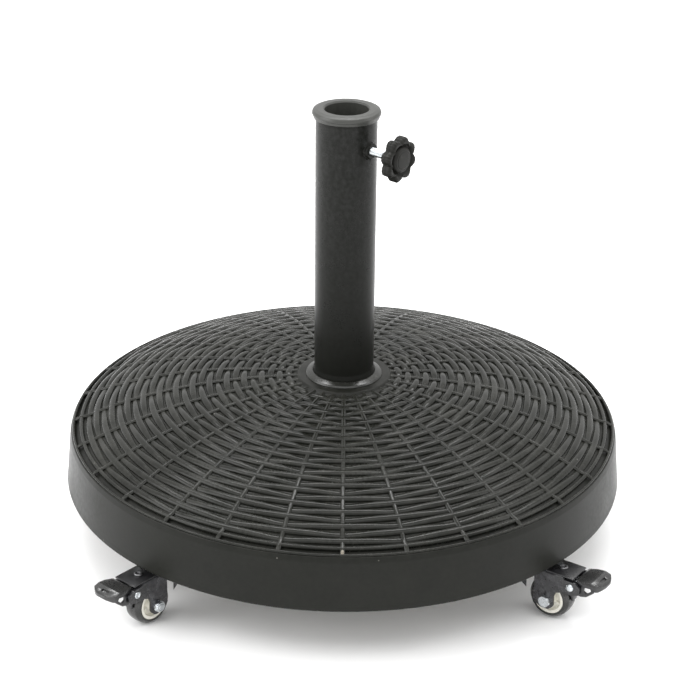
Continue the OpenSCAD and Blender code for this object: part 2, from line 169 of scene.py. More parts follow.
class SharedGroups:
    """Shader node groups used by every finish, each made once."""

    _made: dict[str, bpy.types.NodeTree] = {}

    @classmethod
    def _open(
        cls, name: str, inputs: Sequence[tuple[str, str, object]], outputs: Sequence[tuple[str, str]]
    ) -> tuple:
        """Open a shader group.

        Args:
            name: name of the group.
            inputs: label, socket type and default of each input.
            outputs: label and socket type of each output.

        Returns:
            The group, its tree and its input node.
        """
        group = bpy.data.node_groups.new(name, "ShaderNodeTree")
        for label, kind, default in inputs:
            item = group.interface.new_socket(label, in_out="INPUT", socket_type=kind)
            item.default_value = default
        for label, kind in outputs:
            group.interface.new_socket(label, in_out="OUTPUT", socket_type=kind)
        tree = Tree(group)
        source = tree.add("NodeGroupInput")
        cls._made[name] = group
        return group, tree, source

    @classmethod
    def grain(cls) -> bpy.types.NodeTree:
        """Mottled colour, roughness and fine height, as of a moulded or painted skin."""
        if "grain" in cls._made:
            return cls._made["grain"]
        group, tree, src = cls._open(
            "grain",
            [
                ("Color", "NodeSocketColor", (0.1, 0.1, 0.1, 1)),
                ("Mottle", "NodeSocketFloat", 0.2),
                ("Roughness", "NodeSocketFloat", 0.5),
                ("Spread", "NodeSocketFloat", 0.1),
                ("Scale", "NodeSocketFloat", 400.0),
            ],
            [("Color", "NodeSocketColor"), ("Roughness", "NodeSocketFloat"), ("Height", "NodeSocketFloat")],
        )
        place = tree.add("ShaderNodeTexCoord").outputs["Object"]
        fine = tree.add("ShaderNodeTexNoise", {"Vector": place, "Scale": src.outputs["Scale"], "Detail": 6.0})
        wide_scale = tree.math("MULTIPLY", src.outputs["Scale"], 0.06)
        wide = tree.add("ShaderNodeTexNoise", {"Vector": place, "Scale": wide_scale, "Detail": 4.0})
        pebble = tree.add(
            "ShaderNodeTexVoronoi",
            {"Vector": place, "Scale": tree.math("MULTIPLY", src.outputs["Scale"], 1.3)}
        )
        mixed = tree.math(
            "ADD",
            tree.math("MULTIPLY", fine.outputs[0], 0.45),
            tree.math("MULTIPLY", wide.outputs[0], 0.55),
        )
        centred = tree.math("SUBTRACT", mixed, 0.5)
        value = tree.math("MULTIPLY_ADD", centred, tree.math("MULTIPLY", src.outputs["Mottle"], 4.0), 1.0)
        tone = tree.add("ShaderNodeHueSaturation", {"Color": src.outputs["Color"], "Value": value})
        rough = tree.math(
            "MULTIPLY_ADD",
            centred,
            tree.math("MULTIPLY", src.outputs["Spread"], 4.0),
            src.outputs["Roughness"],
        )
        rough = tree.math("MINIMUM", tree.math("MAXIMUM", rough, 0.05), 0.95)
        height = tree.math(
            "ADD",
            tree.math("MULTIPLY", fine.outputs[0], 0.7),
            tree.math("MULTIPLY", pebble.outputs[0], 0.3),
        )
        tree.add("NodeGroupOutput", {"Color": tone.outputs[0], "Roughness": rough, "Height": height})
        return group

    @classmethod
    def wear(cls) -> bpy.types.NodeTree:
        """Lighter, shinier tone along convex edges, broken up by noise."""
        if "wear" in cls._made:
            return cls._made["wear"]
        group, tree, src = cls._open(
            "wear",
            [
                ("Color", "NodeSocketColor", (0.1, 0.1, 0.1, 1)),
                ("Edge", "NodeSocketColor", (0.3, 0.3, 0.3, 1)),
                ("Roughness", "NodeSocketFloat", 0.5),
                ("Amount", "NodeSocketFloat", 0.3),
            ],
            [("Color", "NodeSocketColor"), ("Roughness", "NodeSocketFloat")],
        )
        place = tree.add("ShaderNodeTexCoord").outputs["Object"]
        point = tree.add("ShaderNodeNewGeometry").outputs["Pointiness"]
        ridge = tree.add("ShaderNodeMapRange", {0: point, 1: 0.52, 2: 0.6, 3: 0.0, 4: 1.0}).outputs[0]
        patchy = tree.add("ShaderNodeTexNoise", {"Vector": place, "Scale": 260.0, "Detail": 5.0}).outputs[0]
        broken = tree.add("ShaderNodeMapRange", {0: patchy, 1: 0.38, 2: 0.66, 3: 0.1, 4: 1.0}).outputs[0]
        mask = tree.math("MULTIPLY", tree.math("MULTIPLY", ridge, broken), src.outputs["Amount"])
        tone = tree.add(
            "ShaderNodeMix", {0: mask, 6: src.outputs["Color"], 7: src.outputs["Edge"]}, data_type="RGBA"
        )
        rough = tree.math("MULTIPLY_ADD", mask, -0.12, src.outputs["Roughness"])
        tree.add("NodeGroupOutput", {"Color": tone.outputs[2], "Roughness": rough})
        return group

    @classmethod
    def dust(cls) -> bpy.types.NodeTree:
        """Pale dust and moulding specks, mostly on faces that look up."""
        if "dust" in cls._made:
            return cls._made["dust"]
        group, tree, src = cls._open(
            "dust",
            [
                ("Color", "NodeSocketColor", (0.1, 0.1, 0.1, 1)),
                ("Dust", "NodeSocketColor", (0.32, 0.31, 0.28, 1)),
                ("Roughness", "NodeSocketFloat", 0.5),
                ("Amount", "NodeSocketFloat", 0.1),
                ("Specks", "NodeSocketFloat", 0.0),
            ],
            [("Color", "NodeSocketColor"), ("Roughness", "NodeSocketFloat")],
        )
        place = tree.add("ShaderNodeTexCoord").outputs["Object"]
        normal = tree.add("ShaderNodeNewGeometry").outputs["Normal"]
        up = tree.add("ShaderNodeSeparateXYZ", {0: normal}).outputs["Z"]
        lying = tree.add("ShaderNodeMapRange", {0: up, 1: 0.2, 2: 1.0, 3: 0.15, 4: 1.0}).outputs[0]
        cloud = tree.add(
            "ShaderNodeTexNoise", {"Vector": place, "Scale": 38.0, "Detail": 7.0, "Roughness": 0.7}
        ).outputs[0]
        patch = tree.add("ShaderNodeMapRange", {0: cloud, 1: 0.42, 2: 0.72, 3: 0.0, 4: 1.0}).outputs[0]
        film = tree.math("MULTIPLY", tree.math("MULTIPLY", lying, patch), src.outputs["Amount"])
        cells = tree.add("ShaderNodeTexVoronoi", {"Vector": place, "Scale": 95.0})
        near = tree.add(
            "ShaderNodeMapRange", {0: cells.outputs["Distance"], 1: 0.045, 2: 0.075, 3: 1.0, 4: 0.0}
        ).outputs[0]
        pick = tree.add("ShaderNodeSeparateColor", {0: cells.outputs["Color"]}).outputs[0]
        rare = tree.math("GREATER_THAN", pick, 0.93)
        speck = tree.math("MULTIPLY", tree.math("MULTIPLY", near, rare), src.outputs["Specks"])
        mask = tree.math("MINIMUM", tree.math("ADD", film, speck), 1.0)
        tone = tree.add(
            "ShaderNodeMix", {0: mask, 6: src.outputs["Color"], 7: src.outputs["Dust"]}, data_type="RGBA"
        )
        rough = tree.math("MULTIPLY_ADD", film, 0.25, src.outputs["Roughness"])
        tree.add("NodeGroupOutput", {"Color": tone.outputs[2], "Roughness": rough})
        return group


@dataclass(frozen=True)
class Finish:
    """How one kind of surface looks."""

    name: str
    color: tuple[float, float, float]
    rough: float
    metallic: float = 0.0
    mottle: float = 0.15
    spread: float = 0.06
    grain: float = 420.0
    bump: float = 0.15
    bump_mm: float = 0.05
    edge: tuple[float, float, float] = (0.2, 0.2, 0.2)
    wear: float = 0.25
    dust: float = 0.05
    specks: float = 0.0
    coat: float = 0.0
    coat_rough: float = 0.2
    specular: float = 0.5
    brushed: Optional[int] = None

    def material(self) -> bpy.types.Material:
        """The material, made on first use."""
        found = bpy.data.materials.get(self.name)
        if found:
            return found
        mat = bpy.data.materials.new(self.name)
        mat.use_nodes = True
        mat.node_tree.nodes.clear()
        tree = Tree(mat.node_tree)
        grain = self._group(
            tree,
            SharedGroups.grain(),
            {
                "Color": (*self.color, 1),
                "Mottle": self.mottle,
                "Roughness": self.rough,
                "Spread": self.spread,
                "Scale": self.grain,
            },
        )
        worn = self._group(
            tree,
            SharedGroups.wear(),
            {
                "Color": grain.outputs["Color"],
                "Edge": (*self.edge, 1),
                "Roughness": grain.outputs["Roughness"],
                "Amount": self.wear,
            },
        )
        dusty = self._group(
            tree,
            SharedGroups.dust(),
            {
                "Color": worn.outputs["Color"],
                "Roughness": worn.outputs["Roughness"],
                "Amount": self.dust,
                "Specks": self.specks,
            },
        )
        height = grain.outputs["Height"]
        if self.brushed is not None:
            height = self._brushing(tree, height)
        bump = tree.add(
            "ShaderNodeBump", {"Strength": self.bump, "Distance": self.bump_mm * MM, "Height": height}
        )
        shader = tree.add(
            "ShaderNodeBsdfPrincipled",
            {
                "Base Color": dusty.outputs["Color"],
                "Roughness": dusty.outputs["Roughness"],
                "Metallic": self.metallic,
                "Specular IOR Level": self.specular,
                "Coat Weight": self.coat,
                "Coat Roughness": self.coat_rough,
                "Normal": bump.outputs[0],
            },
        )
        tree.add("ShaderNodeOutputMaterial", {"Surface": shader.outputs[0]})
        return mat

    def _brushing(self, tree: Tree, height: Feed) -> bpy.types.NodeSocket:
        """Fine lines drawn out along one axis, added to the grain's height."""
        place = tree.add("ShaderNodeTexCoord").outputs["Object"]
        stretch = [1.0, 1.0, 1.0]
        stretch[self.brushed] = 0.04
        lines = tree.add("ShaderNodeMapping", {"Vector": place, "Scale": stretch})
        fine = tree.add(
            "ShaderNodeTexNoise", {"Vector": lines.outputs[0], "Scale": 1600.0, "Detail": 3.0}
        ).outputs[0]
        return tree.math("ADD", height, fine)

    @staticmethod
    def _group(tree: Tree, group: bpy.types.NodeTree, values: dict) -> bpy.types.Node:
        """A group node with its sockets fed.

        Args:
            tree: tree that the node is added to.
            group: node group that it shows.
            values: socket name to constant or to the socket that feeds it.

        Returns:
            The new node.
        """
        node = tree.tree.nodes.new("ShaderNodeGroup")
        node.node_tree = group
        for key, value in values.items():
            if isinstance(value, bpy.types.NodeSocket):
                tree.tree.links.new(value, node.inputs[key])
            else:
                node.inputs[key].default_value = value
        return node


class Palette(Enum):
    """Every finish of the object, with the record's slot it belongs to."""

    RESIN = "resin"
    WEAVE = "weave"
    SCAR = "scar"
    WORN = "worn"
    BALLAST = "ballast"
    TUBE = "painted_steel"
    COLLAR = "collar_plastic"
    KNOB = "knob_plastic"
    PAD = "pad_nylon"
    PRESSED = "pressed_steel"
    ZINC = "zinc"
    RIVET = "rivet_steel"
    HUB = "hub_plastic"
    TYRE = "tyre_rubber"
    PEDAL = "pedal_plastic"

    @property
    def slot(self) -> str:
        """Name of the record's material slot."""
        return "resin" if self in (Palette.WEAVE, Palette.SCAR, Palette.WORN) else self.value

    @property
    def finish(self) -> Finish:
        """The finish's settings."""
        return FINISHES[self]


FINISHES: dict[Palette, Finish] = {
    Palette.RESIN: Finish(
        "resin_skin", (0.0085, 0.0089, 0.0070), 0.38, mottle=0.35, spread=0.12, grain=260.0, bump=0.35,
        bump_mm=0.1,
        edge=(0.05, 0.05, 0.044), wear=0.3, dust=0.04, specks=0.3, specular=0.15
    ),
    Palette.WEAVE: Finish(
        "resin_weave", (0.0095, 0.0100, 0.0078), 0.24, mottle=0.45, spread=0.16, grain=340.0, bump=0.35,
        bump_mm=0.06,
        edge=(0.05, 0.05, 0.044), wear=0.2, dust=0.05, specks=0.3, specular=0.21
    ),
    Palette.WORN: Finish(
        "resin_polished", (0.0095, 0.0100, 0.0080), 0.26, mottle=0.3, spread=0.1, grain=260.0, bump=0.3,
        bump_mm=0.06,
        edge=(0.07, 0.07, 0.062), wear=0.3, dust=0.04, specks=0.2, specular=0.42
    ),
    Palette.SCAR: Finish(
        "resin_scar", (0.17, 0.15, 0.115), 0.6, mottle=0.6, spread=0.1, grain=700.0, bump=0.5, bump_mm=0.15,
        edge=(0.5, 0.46, 0.38), wear=0.3, dust=0.1
    ),
    Palette.BALLAST: Finish(
        "ballast_stone", (0.17, 0.165, 0.15), 0.85, mottle=0.5, spread=0.08, grain=180.0, bump=0.8,
        bump_mm=0.5,
        edge=(0.3, 0.29, 0.27), wear=0.3, dust=0.1, specks=0.4
    ),
    Palette.TUBE: Finish(
        "tube_powder_coat", (0.0072, 0.0076, 0.0062), 0.30, mottle=0.12, spread=0.05, grain=900.0, bump=0.25,
        bump_mm=0.04, edge=(0.05, 0.05, 0.05), wear=0.3, dust=0.02, specks=0.1, specular=0.13
    ),
    Palette.COLLAR: Finish(
        "collar_nylon", (0.032, 0.033, 0.029), 0.38, mottle=0.12, spread=0.06, grain=700.0, bump=0.2,
        bump_mm=0.04,
        edge=(0.12, 0.12, 0.11), wear=0.4, dust=0.05
    ),
    Palette.KNOB: Finish(
        "knob_nylon", (0.011, 0.011, 0.0095), 0.42, mottle=0.2, spread=0.1, grain=900.0, bump=0.5,
        bump_mm=0.12,
        edge=(0.07, 0.07, 0.063), wear=0.3, dust=0.03, specular=0.14
    ),
    Palette.PAD: Finish(
        "pad_nylon", (0.6, 0.59, 0.53), 0.5, mottle=0.08, grain=800.0, edge=(0.7, 0.69, 0.62), wear=0.1
    ),
    Palette.PRESSED: Finish(
        "lacquered_steel", (0.008, 0.008, 0.009), 0.3, mottle=0.1, spread=0.08, grain=500.0, bump=0.2,
        bump_mm=0.05,
        edge=(0.12, 0.12, 0.13), wear=0.45, dust=0.02, coat=0.25, coat_rough=0.12
    ),
    Palette.ZINC: Finish(
        "zinc_plate", (0.62, 0.65, 0.67), 0.26, metallic=1.0, mottle=0.12, spread=0.12, grain=900.0, bump=0.3,
        bump_mm=0.04, edge=(0.85, 0.86, 0.88), wear=0.3, dust=0.0, brushed=2
    ),
    Palette.RIVET: Finish(
        "dark_steel", (0.16, 0.16, 0.165), 0.38, metallic=0.9, mottle=0.2, spread=0.12, grain=700.0, bump=0.3,
        bump_mm=0.05, edge=(0.4, 0.4, 0.41), wear=0.4
    ),
    Palette.HUB: Finish(
        "hub_cream", (0.80, 0.78, 0.70), 0.32, mottle=0.05, spread=0.06, grain=500.0, bump=0.15, bump_mm=0.04,
        edge=(0.86, 0.85, 0.79), wear=0.1, dust=0.03
    ),
    Palette.TYRE: Finish(
        "tyre_gloss", (0.012, 0.012, 0.011), 0.26, mottle=0.15, spread=0.1, grain=600.0, bump=0.2,
        bump_mm=0.05,
        edge=(0.05, 0.05, 0.05), wear=0.2, dust=0.06, coat=0.2, coat_rough=0.15
    ),
    Palette.PEDAL: Finish(
        "pedal_nylon", (0.009, 0.009, 0.009), 0.28, mottle=0.12, spread=0.08, grain=600.0, bump=0.2,
        bump_mm=0.05,
        edge=(0.09, 0.09, 0.09), wear=0.35, dust=0.04, coat=0.2, coat_rough=0.15
    ),
}


# ---------------------------------------------------------------------------
# Meshes
# ---------------------------------------------------------------------------


class Draft:
    """Collects surfaces in millimetres, then becomes one Blender object in metres."""

    def __init__(self, place: Matrix = Matrix.Identity(4)) -> None:
        """
        Args:
            place: where the draft's own millimetre frame sits in the row frame, in mm.
        """
        self.place = place
        self.verts: list[Vector] = []
        self.faces: list[tuple[int, ...]] = []

    def add(
        self,
        verts: Iterable[Sequence[float]],
        faces: Iterable[Sequence[int]],
        at: Matrix = Matrix.Identity(4),
    ) -> None:
        """Add loose geometry, moved by a matrix in the draft's frame."""
        base = len(self.verts)
        whole = self.place @ at
        self.verts.extend(whole @ Vector(v) for v in verts)
        self.faces.extend(tuple(base + i for i in f) for f in faces)

    def lathe(
        self,
        profile: Sequence[Point2],
        at: Matrix = Matrix.Identity(4),
        segments: int = 96,
        closed: bool = True,
    ) -> None:
        """Turn a (radius, height) profile about the local Z axis.

        Args:
            profile: the points; closed profiles run round the section counter-clockwise.
            at: matrix of the local frame.
            segments: steps round the axis.
            closed: whether the last point joins the first.
        """
        self.loft([lambda a, r=r, z=z: (r, z) for r, z in profile], at, segments, closed)

    def loft(
        self, layers: Sequence[Callable[[float], Point2]], at: Matrix, segments: int, closed: bool
    ) -> None:
        """Join rings whose radius and height vary with the angle."""
        verts: list[Point3] = []
        rings: list[list[int]] = []
        for layer in layers:
            radius, height = layer(0.0)
            if abs(radius) < 1e-6:
                verts.append((0.0, 0.0, height))
                rings.append([len(verts) - 1] * segments)
                continue
            ring = []
            for s in range(segments):
                a = TAU * s / segments
                radius, height = layer(a)
                ring.append(len(verts))
                verts.append((radius * math.cos(a), radius * math.sin(a), height))
            rings.append(ring)
        faces = []
        pairs = len(rings) if closed else len(rings) - 1
        for i in range(pairs):
            lower, upper = rings[i], rings[(i + 1) % len(rings)]
            for s in range(segments):
                t = (s + 1) % segments
                face = [lower[s], lower[t], upper[t], upper[s]]
                face = [v for n, v in enumerate(face) if v != face[n - 1]]
                if len(face) > 2:
                    faces.append(face)
        self.add(verts, faces, at)

    def prism(
        self, outline: Sequence[Point2], low: float, high: float, at: Matrix = Matrix.Identity(4)
    ) -> None:
        """Extrude an (x, y) outline from z low to z high, in a local frame."""
        count = len(outline)
        area = sum(
            outline[i - 1][0] * outline[i][1] - outline[i][0] * outline[i - 1][1] for i in range(count)
        )
        points = list(outline) if area > 0 else list(reversed(outline))
        verts = [(x, y, low) for x, y in points] + [(x, y, high) for x, y in points]
        faces = [tuple(reversed(range(count))), tuple(range(count, 2 * count))]
        faces += [(i, (i + 1) % count, count + (i + 1) % count, count + i) for i in range(count)]
        self.add(verts, faces, at)

    def ball(self, centre: Sequence[float], radius: float, segments: int = 12) -> None:
        """A small sphere, closed at its poles."""
        steps = segments // 2
        profile = [
            (
                radius * math.sin(math.pi * i / steps) if 0 < i < steps else 0.0,
                -radius * math.cos(math.pi * i / steps),
            )
            for i in range(steps + 1)
        ]
        self.lathe(profile, Matrix.Translation(Vector(centre)), segments, closed=False)

    def raw(self, name: str) -> bpy.types.Object:
        """The plain object, faces turned outwards."""
        mesh = bpy.data.meshes.new(name)
        mesh.from_pydata([tuple(v * MM) for v in self.verts], [], self.faces)
        mesh.validate()
        bm = bmesh.new()
        bm.from_mesh(mesh)
        bmesh.ops.recalc_face_normals(bm, faces=bm.faces)
        bm.to_mesh(mesh)
        bm.free()
        obj = bpy.data.objects.new(name, mesh)
        bpy.context.scene.collection.objects.link(obj)
        return obj

    def build(
        self, name: str, look: Palette, body: str, angle: float = 35.0, bevel: float = 0.0
    ) -> bpy.types.Object:
        """Make the finished piece.

        Args:
            name: the piece's name.
            look: its finish.
            body: the CAD body it rides on.
            angle: edges flatter than this, in degrees, are shaded smooth.
            bevel: width of the rounding on sharp edges, in mm.
        """
        return dress(self.raw(name), look, body, angle, bevel)


def settle(obj: bpy.types.Object) -> None:
    """Bake an object's modifiers into its mesh."""
    deps = bpy.context.evaluated_depsgraph_get()
    mesh = bpy.data.meshes.new_from_object(obj.evaluated_get(deps), depsgraph=deps)
    old = obj.data
    obj.modifiers.clear()
    obj.data = mesh
    mesh.name = obj.name
    bpy.data.meshes.remove(old)


def soften(obj: bpy.types.Object, width: float, segments: int = 2) -> None:
    """Round sharp edges by a width in mm and bake the result."""
    mod = obj.modifiers.new("soft_edges", "BEVEL")
    mod.width = width * MM
    mod.segments = segments
    mod.limit_method = "ANGLE"
    mod.angle_limit = math.radians(32)
    mod.use_clamp_overlap = True
    settle(obj)


def carve(obj: bpy.types.Object, tool: bpy.types.Object, operation: str = "DIFFERENCE") -> None:
    """Apply a boolean of a throw-away tool object."""
    mod = obj.modifiers.new("carve", "BOOLEAN")
    mod.object = tool
    mod.operation = operation
    mod.solver = "EXACT"
    settle(obj)
    data = tool.data
    bpy.data.objects.remove(tool)
    bpy.data.meshes.remove(data)


def dress(
    obj: bpy.types.Object, look: Palette, body: str, angle: float = 35.0, bevel: float = 0.0
) -> bpy.types.Object:
    """Round, shade and paint a piece, and hang it on its CAD body."""
    if bevel > 0:
        soften(obj, bevel)
    mesh = obj.data
    mesh.shade_smooth()
    mesh.set_sharp_from_angle(angle=math.radians(angle))
    mesh.materials.clear()
    mesh.materials.append(look.finish.material())
    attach(obj, body)
    return obj


def paint_node(name: str, look: Palette, bevel: float = 0.0) -> None:
    """Give a CAD node that stays its procedural finish.

    Args:
        name: the node.
        look: its finish.
        bevel: rounding of its sharp edges, in mm.
    """
    obj = frame["nodes"][name]
    obj.data.materials.clear()
    obj.data.materials.append(look.finish.material())
    if bevel > 0:
        weld = obj.modifiers.new("weld", "WELD")
        weld.merge_threshold = 0.00001
        mod = obj.modifiers.new("soft_edges", "BEVEL")
        mod.width = bevel * MM
        mod.segments = 2
        mod.limit_method = "ANGLE"
        mod.angle_limit = math.radians(32)


# ---------------------------------------------------------------------------
# Disc
# ---------------------------------------------------------------------------


@dataclass
class Dome:
    """Shape of the top, shared by the shell and the weave."""

    border_radius: float = 252.9
    border_height: float = 107.4
    rise: float = 45.9
    power: float = 2.68

    @property
    def crown(self) -> float:
        """Height the dome would reach on the axis."""
        return self.border_height + self.rise

    def height(self, radius: float) -> float:
        """Height of the weave's crests at a radius."""
        return self.crown - self.rise * (radius / self.border_radius) ** self.power

    def slope(self, radius: float) -> float:
        """Fall of the surface per unit of radius, a negative number."""
        return -self.rise * self.power * (
            radius / self.border_radius
        ) ** (self.power - 1) / self.border_radius


@dataclass
class DiscShell:
    """The moulded resin disc: wall, rounded shoulder, bed of the weave and hub rings."""

    dome: Dome
    foot_height: float = 56.6
    bed_depth: float = 2.8
    tube_radius: float = 27.55
    segments: int = 232

    def outer(self) -> list[Point2]:
        """Profile from the tube outwards and down to the bottom edge."""
        dome = self.dome
        hub = fillet(
            [
                (self.tube_radius, dome.crown - 4.0),
                (self.tube_radius, dome.crown + 0.2, 0.3),
                (42.8, dome.crown + 0.1, 1.8),
                (44.4, dome.crown - 2.2, 0.8),
                (46.0, dome.crown - self.bed_depth + 0.2, 1.0),
            ],
            closed=False,
            steps=4,
        )
        bed = [(r, dome.height(r) - self.bed_depth) for r in np.linspace(48.0, 240.0, 40)]
        edge = fillet(
            [
                (241.5, dome.height(241.5) - self.bed_depth, 1.0),
                (251.8, dome.border_height - 3.2, 1.2),
                (252.9, dome.border_height - 0.6, 0.8),
                (254.3, dome.border_height - 0.9, 1.6),
                (255.6, dome.border_height - 6.0, 5.0),
                (259.3, self.foot_height + 6.0, 20.0),
                (260.0, self.foot_height + 1.0, 1.0),
                (259.2, self.foot_height, 0.8),
                (254.0, self.foot_height),
            ],
            closed=False,
            steps=5,
        )
        return hub + bed + edge

    def inner(self) -> list[Point2]:
        """Profile of the inside, from the bottom edge back to the tube."""
        dome = self.dome
        back = [(r, dome.height(r) - 9.4) for r in np.linspace(245.0, 46.0, 24)]
        return [(248.5, 97.4)] + back + [(self.tube_radius, dome.crown - 9.4)]

    def build(self) -> None:
        """Make the disc in place of its CAD node."""
        draft = Draft()
        draft.lathe(self.outer() + self.inner(), segments=self.segments)
        piece = draft.build("disc_shell", Palette.RESIN, "base", angle=50.0)
        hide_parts("base_shell")
        self._hub_ring()
        paint_node("ballast_core", Palette.BALLAST)

    def _hub_ring(self) -> None:
        """Raised ring that slopes away from the foot of the tube."""
        crown = self.dome.crown
        profile = fillet(
            [
                (self.tube_radius, crown - 1.5),
                (35.4, crown - 1.5),
                (35.5, crown + 0.8, 0.8),
                (34.5, crown + 2.1, 1.2),
                (29.6, crown + 4.2, 1.4),
                (28.3, crown + 3.6, 0.6),
                (self.tube_radius, crown + 3.2),
            ],
            steps=5,
        )
        draft = Draft()
        draft.lathe(profile, segments=self.segments)
        draft.build("hub_ring", Palette.WORN, "base", angle=50.0)


@dataclass
class WovenTop:
    """Cane rings over and under radial stakes, made with Geometry Nodes."""

    dome: Dome
    rings: int = 25
    stakes: int = 29
    stake_azimuth: float = 0.3
    first_radius: float = 51.5
    pitch: float = 8.45
    crowding: float = -0.029
    cane_width: float = 7.0
    cane_height: float = 4.8
    swing: float = 1.0
    dive: float = 2.6
    stake_width: float = 4.2
    stake_height: float = 2.6
    stake_sink: float = 0.55
    border: tuple[tuple[float, float, float, float], ...] = (
        (244.8, 4.2, 4.6, 0.3),
        (252.0, 2.6, 3.6, 1.0),
    )

    def build(self) -> None:
        """Make canes, stakes and border in place of the CAD panel."""
        canes = self._rings_object()
        stakes = self._stakes_object()
        border = self._border_object()
        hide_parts("woven_panel")

    # -- Geometry Nodes ----------------------------------------------------

    def _profile(self, tree: Tree, width: Feed, height: Feed, sides: int) -> bpy.types.NodeSocket:
        """Elliptical section, as a curve socket."""
        circle = tree.add("GeometryNodeCurvePrimitiveCircle", {"Resolution": sides, "Radius": 1.0})
        scale = tree.add("ShaderNodeCombineXYZ", {0: width, 1: height, 2: 1.0})
        return tree.add(
            "GeometryNodeTransform", {"Geometry": circle.outputs[0], "Scale": scale.outputs[0]}
        ).outputs[0]

    def _dome_nodes(self, tree: Tree, src: bpy.types.Node, radius: Feed) -> tuple:
        """Height and slope sockets of the dome at a radius socket."""
        ratio = tree.math("DIVIDE", radius, src.outputs["Border radius"])
        fall = tree.math("MULTIPLY", tree.math("POWER", ratio, src.outputs["Power"]), src.outputs["Rise"])
        height = tree.math("SUBTRACT", src.outputs["Crown"], fall)
        steep = tree.math("POWER", ratio, tree.math("SUBTRACT", src.outputs["Power"], 1.0))
        gain = tree.math(
            "DIVIDE",
            tree.math("MULTIPLY", src.outputs["Rise"], src.outputs["Power"]),
            src.outputs["Border radius"],
        )
        slope = tree.math("MULTIPLY", tree.math("MULTIPLY", steep, gain), -1.0)
        return height, slope

    def _shared_inputs(self) -> list[tuple[str, str, float]]:
        """Named inputs that every one of the panel's trees has."""
        return [
            ("Crown", "NodeSocketFloat", self.dome.crown * MM),
            ("Rise", "NodeSocketFloat", self.dome.rise * MM),
            ("Border radius", "NodeSocketFloat", self.dome.border_radius * MM),
            ("Power", "NodeSocketFloat", self.dome.power),
            ("Width", "NodeSocketFloat", 0.001),
            ("Thickness", "NodeSocketFloat", 0.001),
            ("Stakes", "NodeSocketInt", self.stakes),
            ("Azimuth", "NodeSocketFloat", math.radians(self.stake_azimuth)),
        ]

    def _open(self, name: str, extra: Sequence[tuple[str, str, float]]) -> tuple:
        """Open a Geometry Nodes tree with the shared inputs.

        Args:
            name: name of the tree.
            extra: label, socket type and default of each further input.

        Returns:
            The group, its tree and its input node.
        """
        group = bpy.data.node_groups.new(name, "GeometryNodeTree")
        for label, kind, default in [*self._shared_inputs(), *extra]:
            group.interface.new_socket(label, in_out="INPUT", socket_type=kind).default_value = default
        group.interface.new_socket("Finish", in_out="INPUT", socket_type="NodeSocketMaterial")
        group.interface.new_socket("Geometry", in_out="OUTPUT", socket_type="NodeSocketGeometry")
        tree = Tree(group)
        return group, tree, tree.add("NodeGroupInput")

    def _finish(self, tree: Tree, src: bpy.types.Node, geometry: bpy.types.NodeSocket) -> None:
        """Every tree ends by realising its instances and setting the material."""
        real = tree.add("GeometryNodeRealizeInstances", {0: geometry})
        smooth = tree.add("GeometryNodeSetShadeSmooth", {"Geometry": real.outputs[0]})
        paint = tree.add(
            "GeometryNodeSetMaterial", {"Geometry": smooth.outputs[0], "Material": src.outputs["Finish"]}
        )
        tree.add("NodeGroupOutput", {0: paint.outputs[0]})

    def _grow(self, name: str, group: bpy.types.NodeTree, values: dict) -> bpy.types.Object:
        """Evaluate a node group into a finished mesh piece."""
        mesh = bpy.data.meshes.new(name)
        obj = bpy.data.objects.new(name, mesh)
        bpy.context.scene.collection.objects.link(obj)
        mod = obj.modifiers.new("grow", "NODES")
        mod.node_group = group
        values = {**values, "Finish": Palette.WEAVE.finish.material()}
        for item in group.interface.items_tree:
            if item.in_out == "INPUT" and item.name in values:
                mod[item.identifier] = values[item.name]
        settle(obj)
        return dress(obj, Palette.WEAVE, "base", angle=60.0)

    def _rings_object(self) -> bpy.types.Object:
        """The woven rings: radius by ring number, height swinging over and under."""
        group, tree, src = self._open(
            "woven_rings",
            [
                ("Rings", "NodeSocketInt", self.rings),
                ("First radius", "NodeSocketFloat", self.first_radius * MM),
                ("Pitch", "NodeSocketFloat", self.pitch * MM),
                ("Crowding", "NodeSocketFloat", self.crowding * MM),
                ("Swing", "NodeSocketFloat", self.swing * MM),
                ("Dive", "NodeSocketFloat", self.dive),
            ],
        )
        steps = self.stakes * 10
        points = tree.add("GeometryNodeMeshLine", {"Count": src.outputs["Rings"]})
        loop = tree.add("GeometryNodeCurvePrimitiveCircle", {"Resolution": steps, "Radius": 1.0})
        copies = tree.add(
            "GeometryNodeInstanceOnPoints", {"Points": points.outputs[0], "Instance": loop.outputs[0]}
        )
        real = tree.add("GeometryNodeRealizeInstances", {0: copies.outputs[0]})
        which = tree.add("GeometryNodeCurveOfPoint")
        number = which.outputs["Curve Index"]
        along = tree.math("DIVIDE", which.outputs["Index in Curve"], float(steps))
        azimuth = tree.math("MULTIPLY", tree.math("SUBTRACT", along, 0.5), TAU)
        square = tree.math("MULTIPLY", number, number)
        radius = tree.math("MULTIPLY_ADD", number, src.outputs["Pitch"], src.outputs["First radius"])
        radius = tree.math("MULTIPLY_ADD", square, src.outputs["Crowding"], radius)
        height, slope = self._dome_nodes(tree, src, radius)
        span = tree.math("DIVIDE", src.outputs["Stakes"], 2.0)
        turned = tree.math("SUBTRACT", azimuth, src.outputs["Azimuth"])
        phase = tree.math("MULTIPLY_ADD", number, math.pi, tree.math("MULTIPLY", turned, span))
        sink = tree.math("MULTIPLY_ADD", tree.math("COSINE", phase), -0.5, 0.5)
        wave = tree.math("MULTIPLY_ADD", tree.math("POWER", sink, src.outputs["Dive"]), -2.0, 1.0)
        drop = tree.math(
            "MULTIPLY_ADD",
            src.outputs["Thickness"],
            -1.0,
            tree.math("MULTIPLY", src.outputs["Swing"], -1.0),
        )
        level = tree.math(
            "ADD", tree.math("ADD", height, drop), tree.math("MULTIPLY", wave, src.outputs["Swing"])
        )
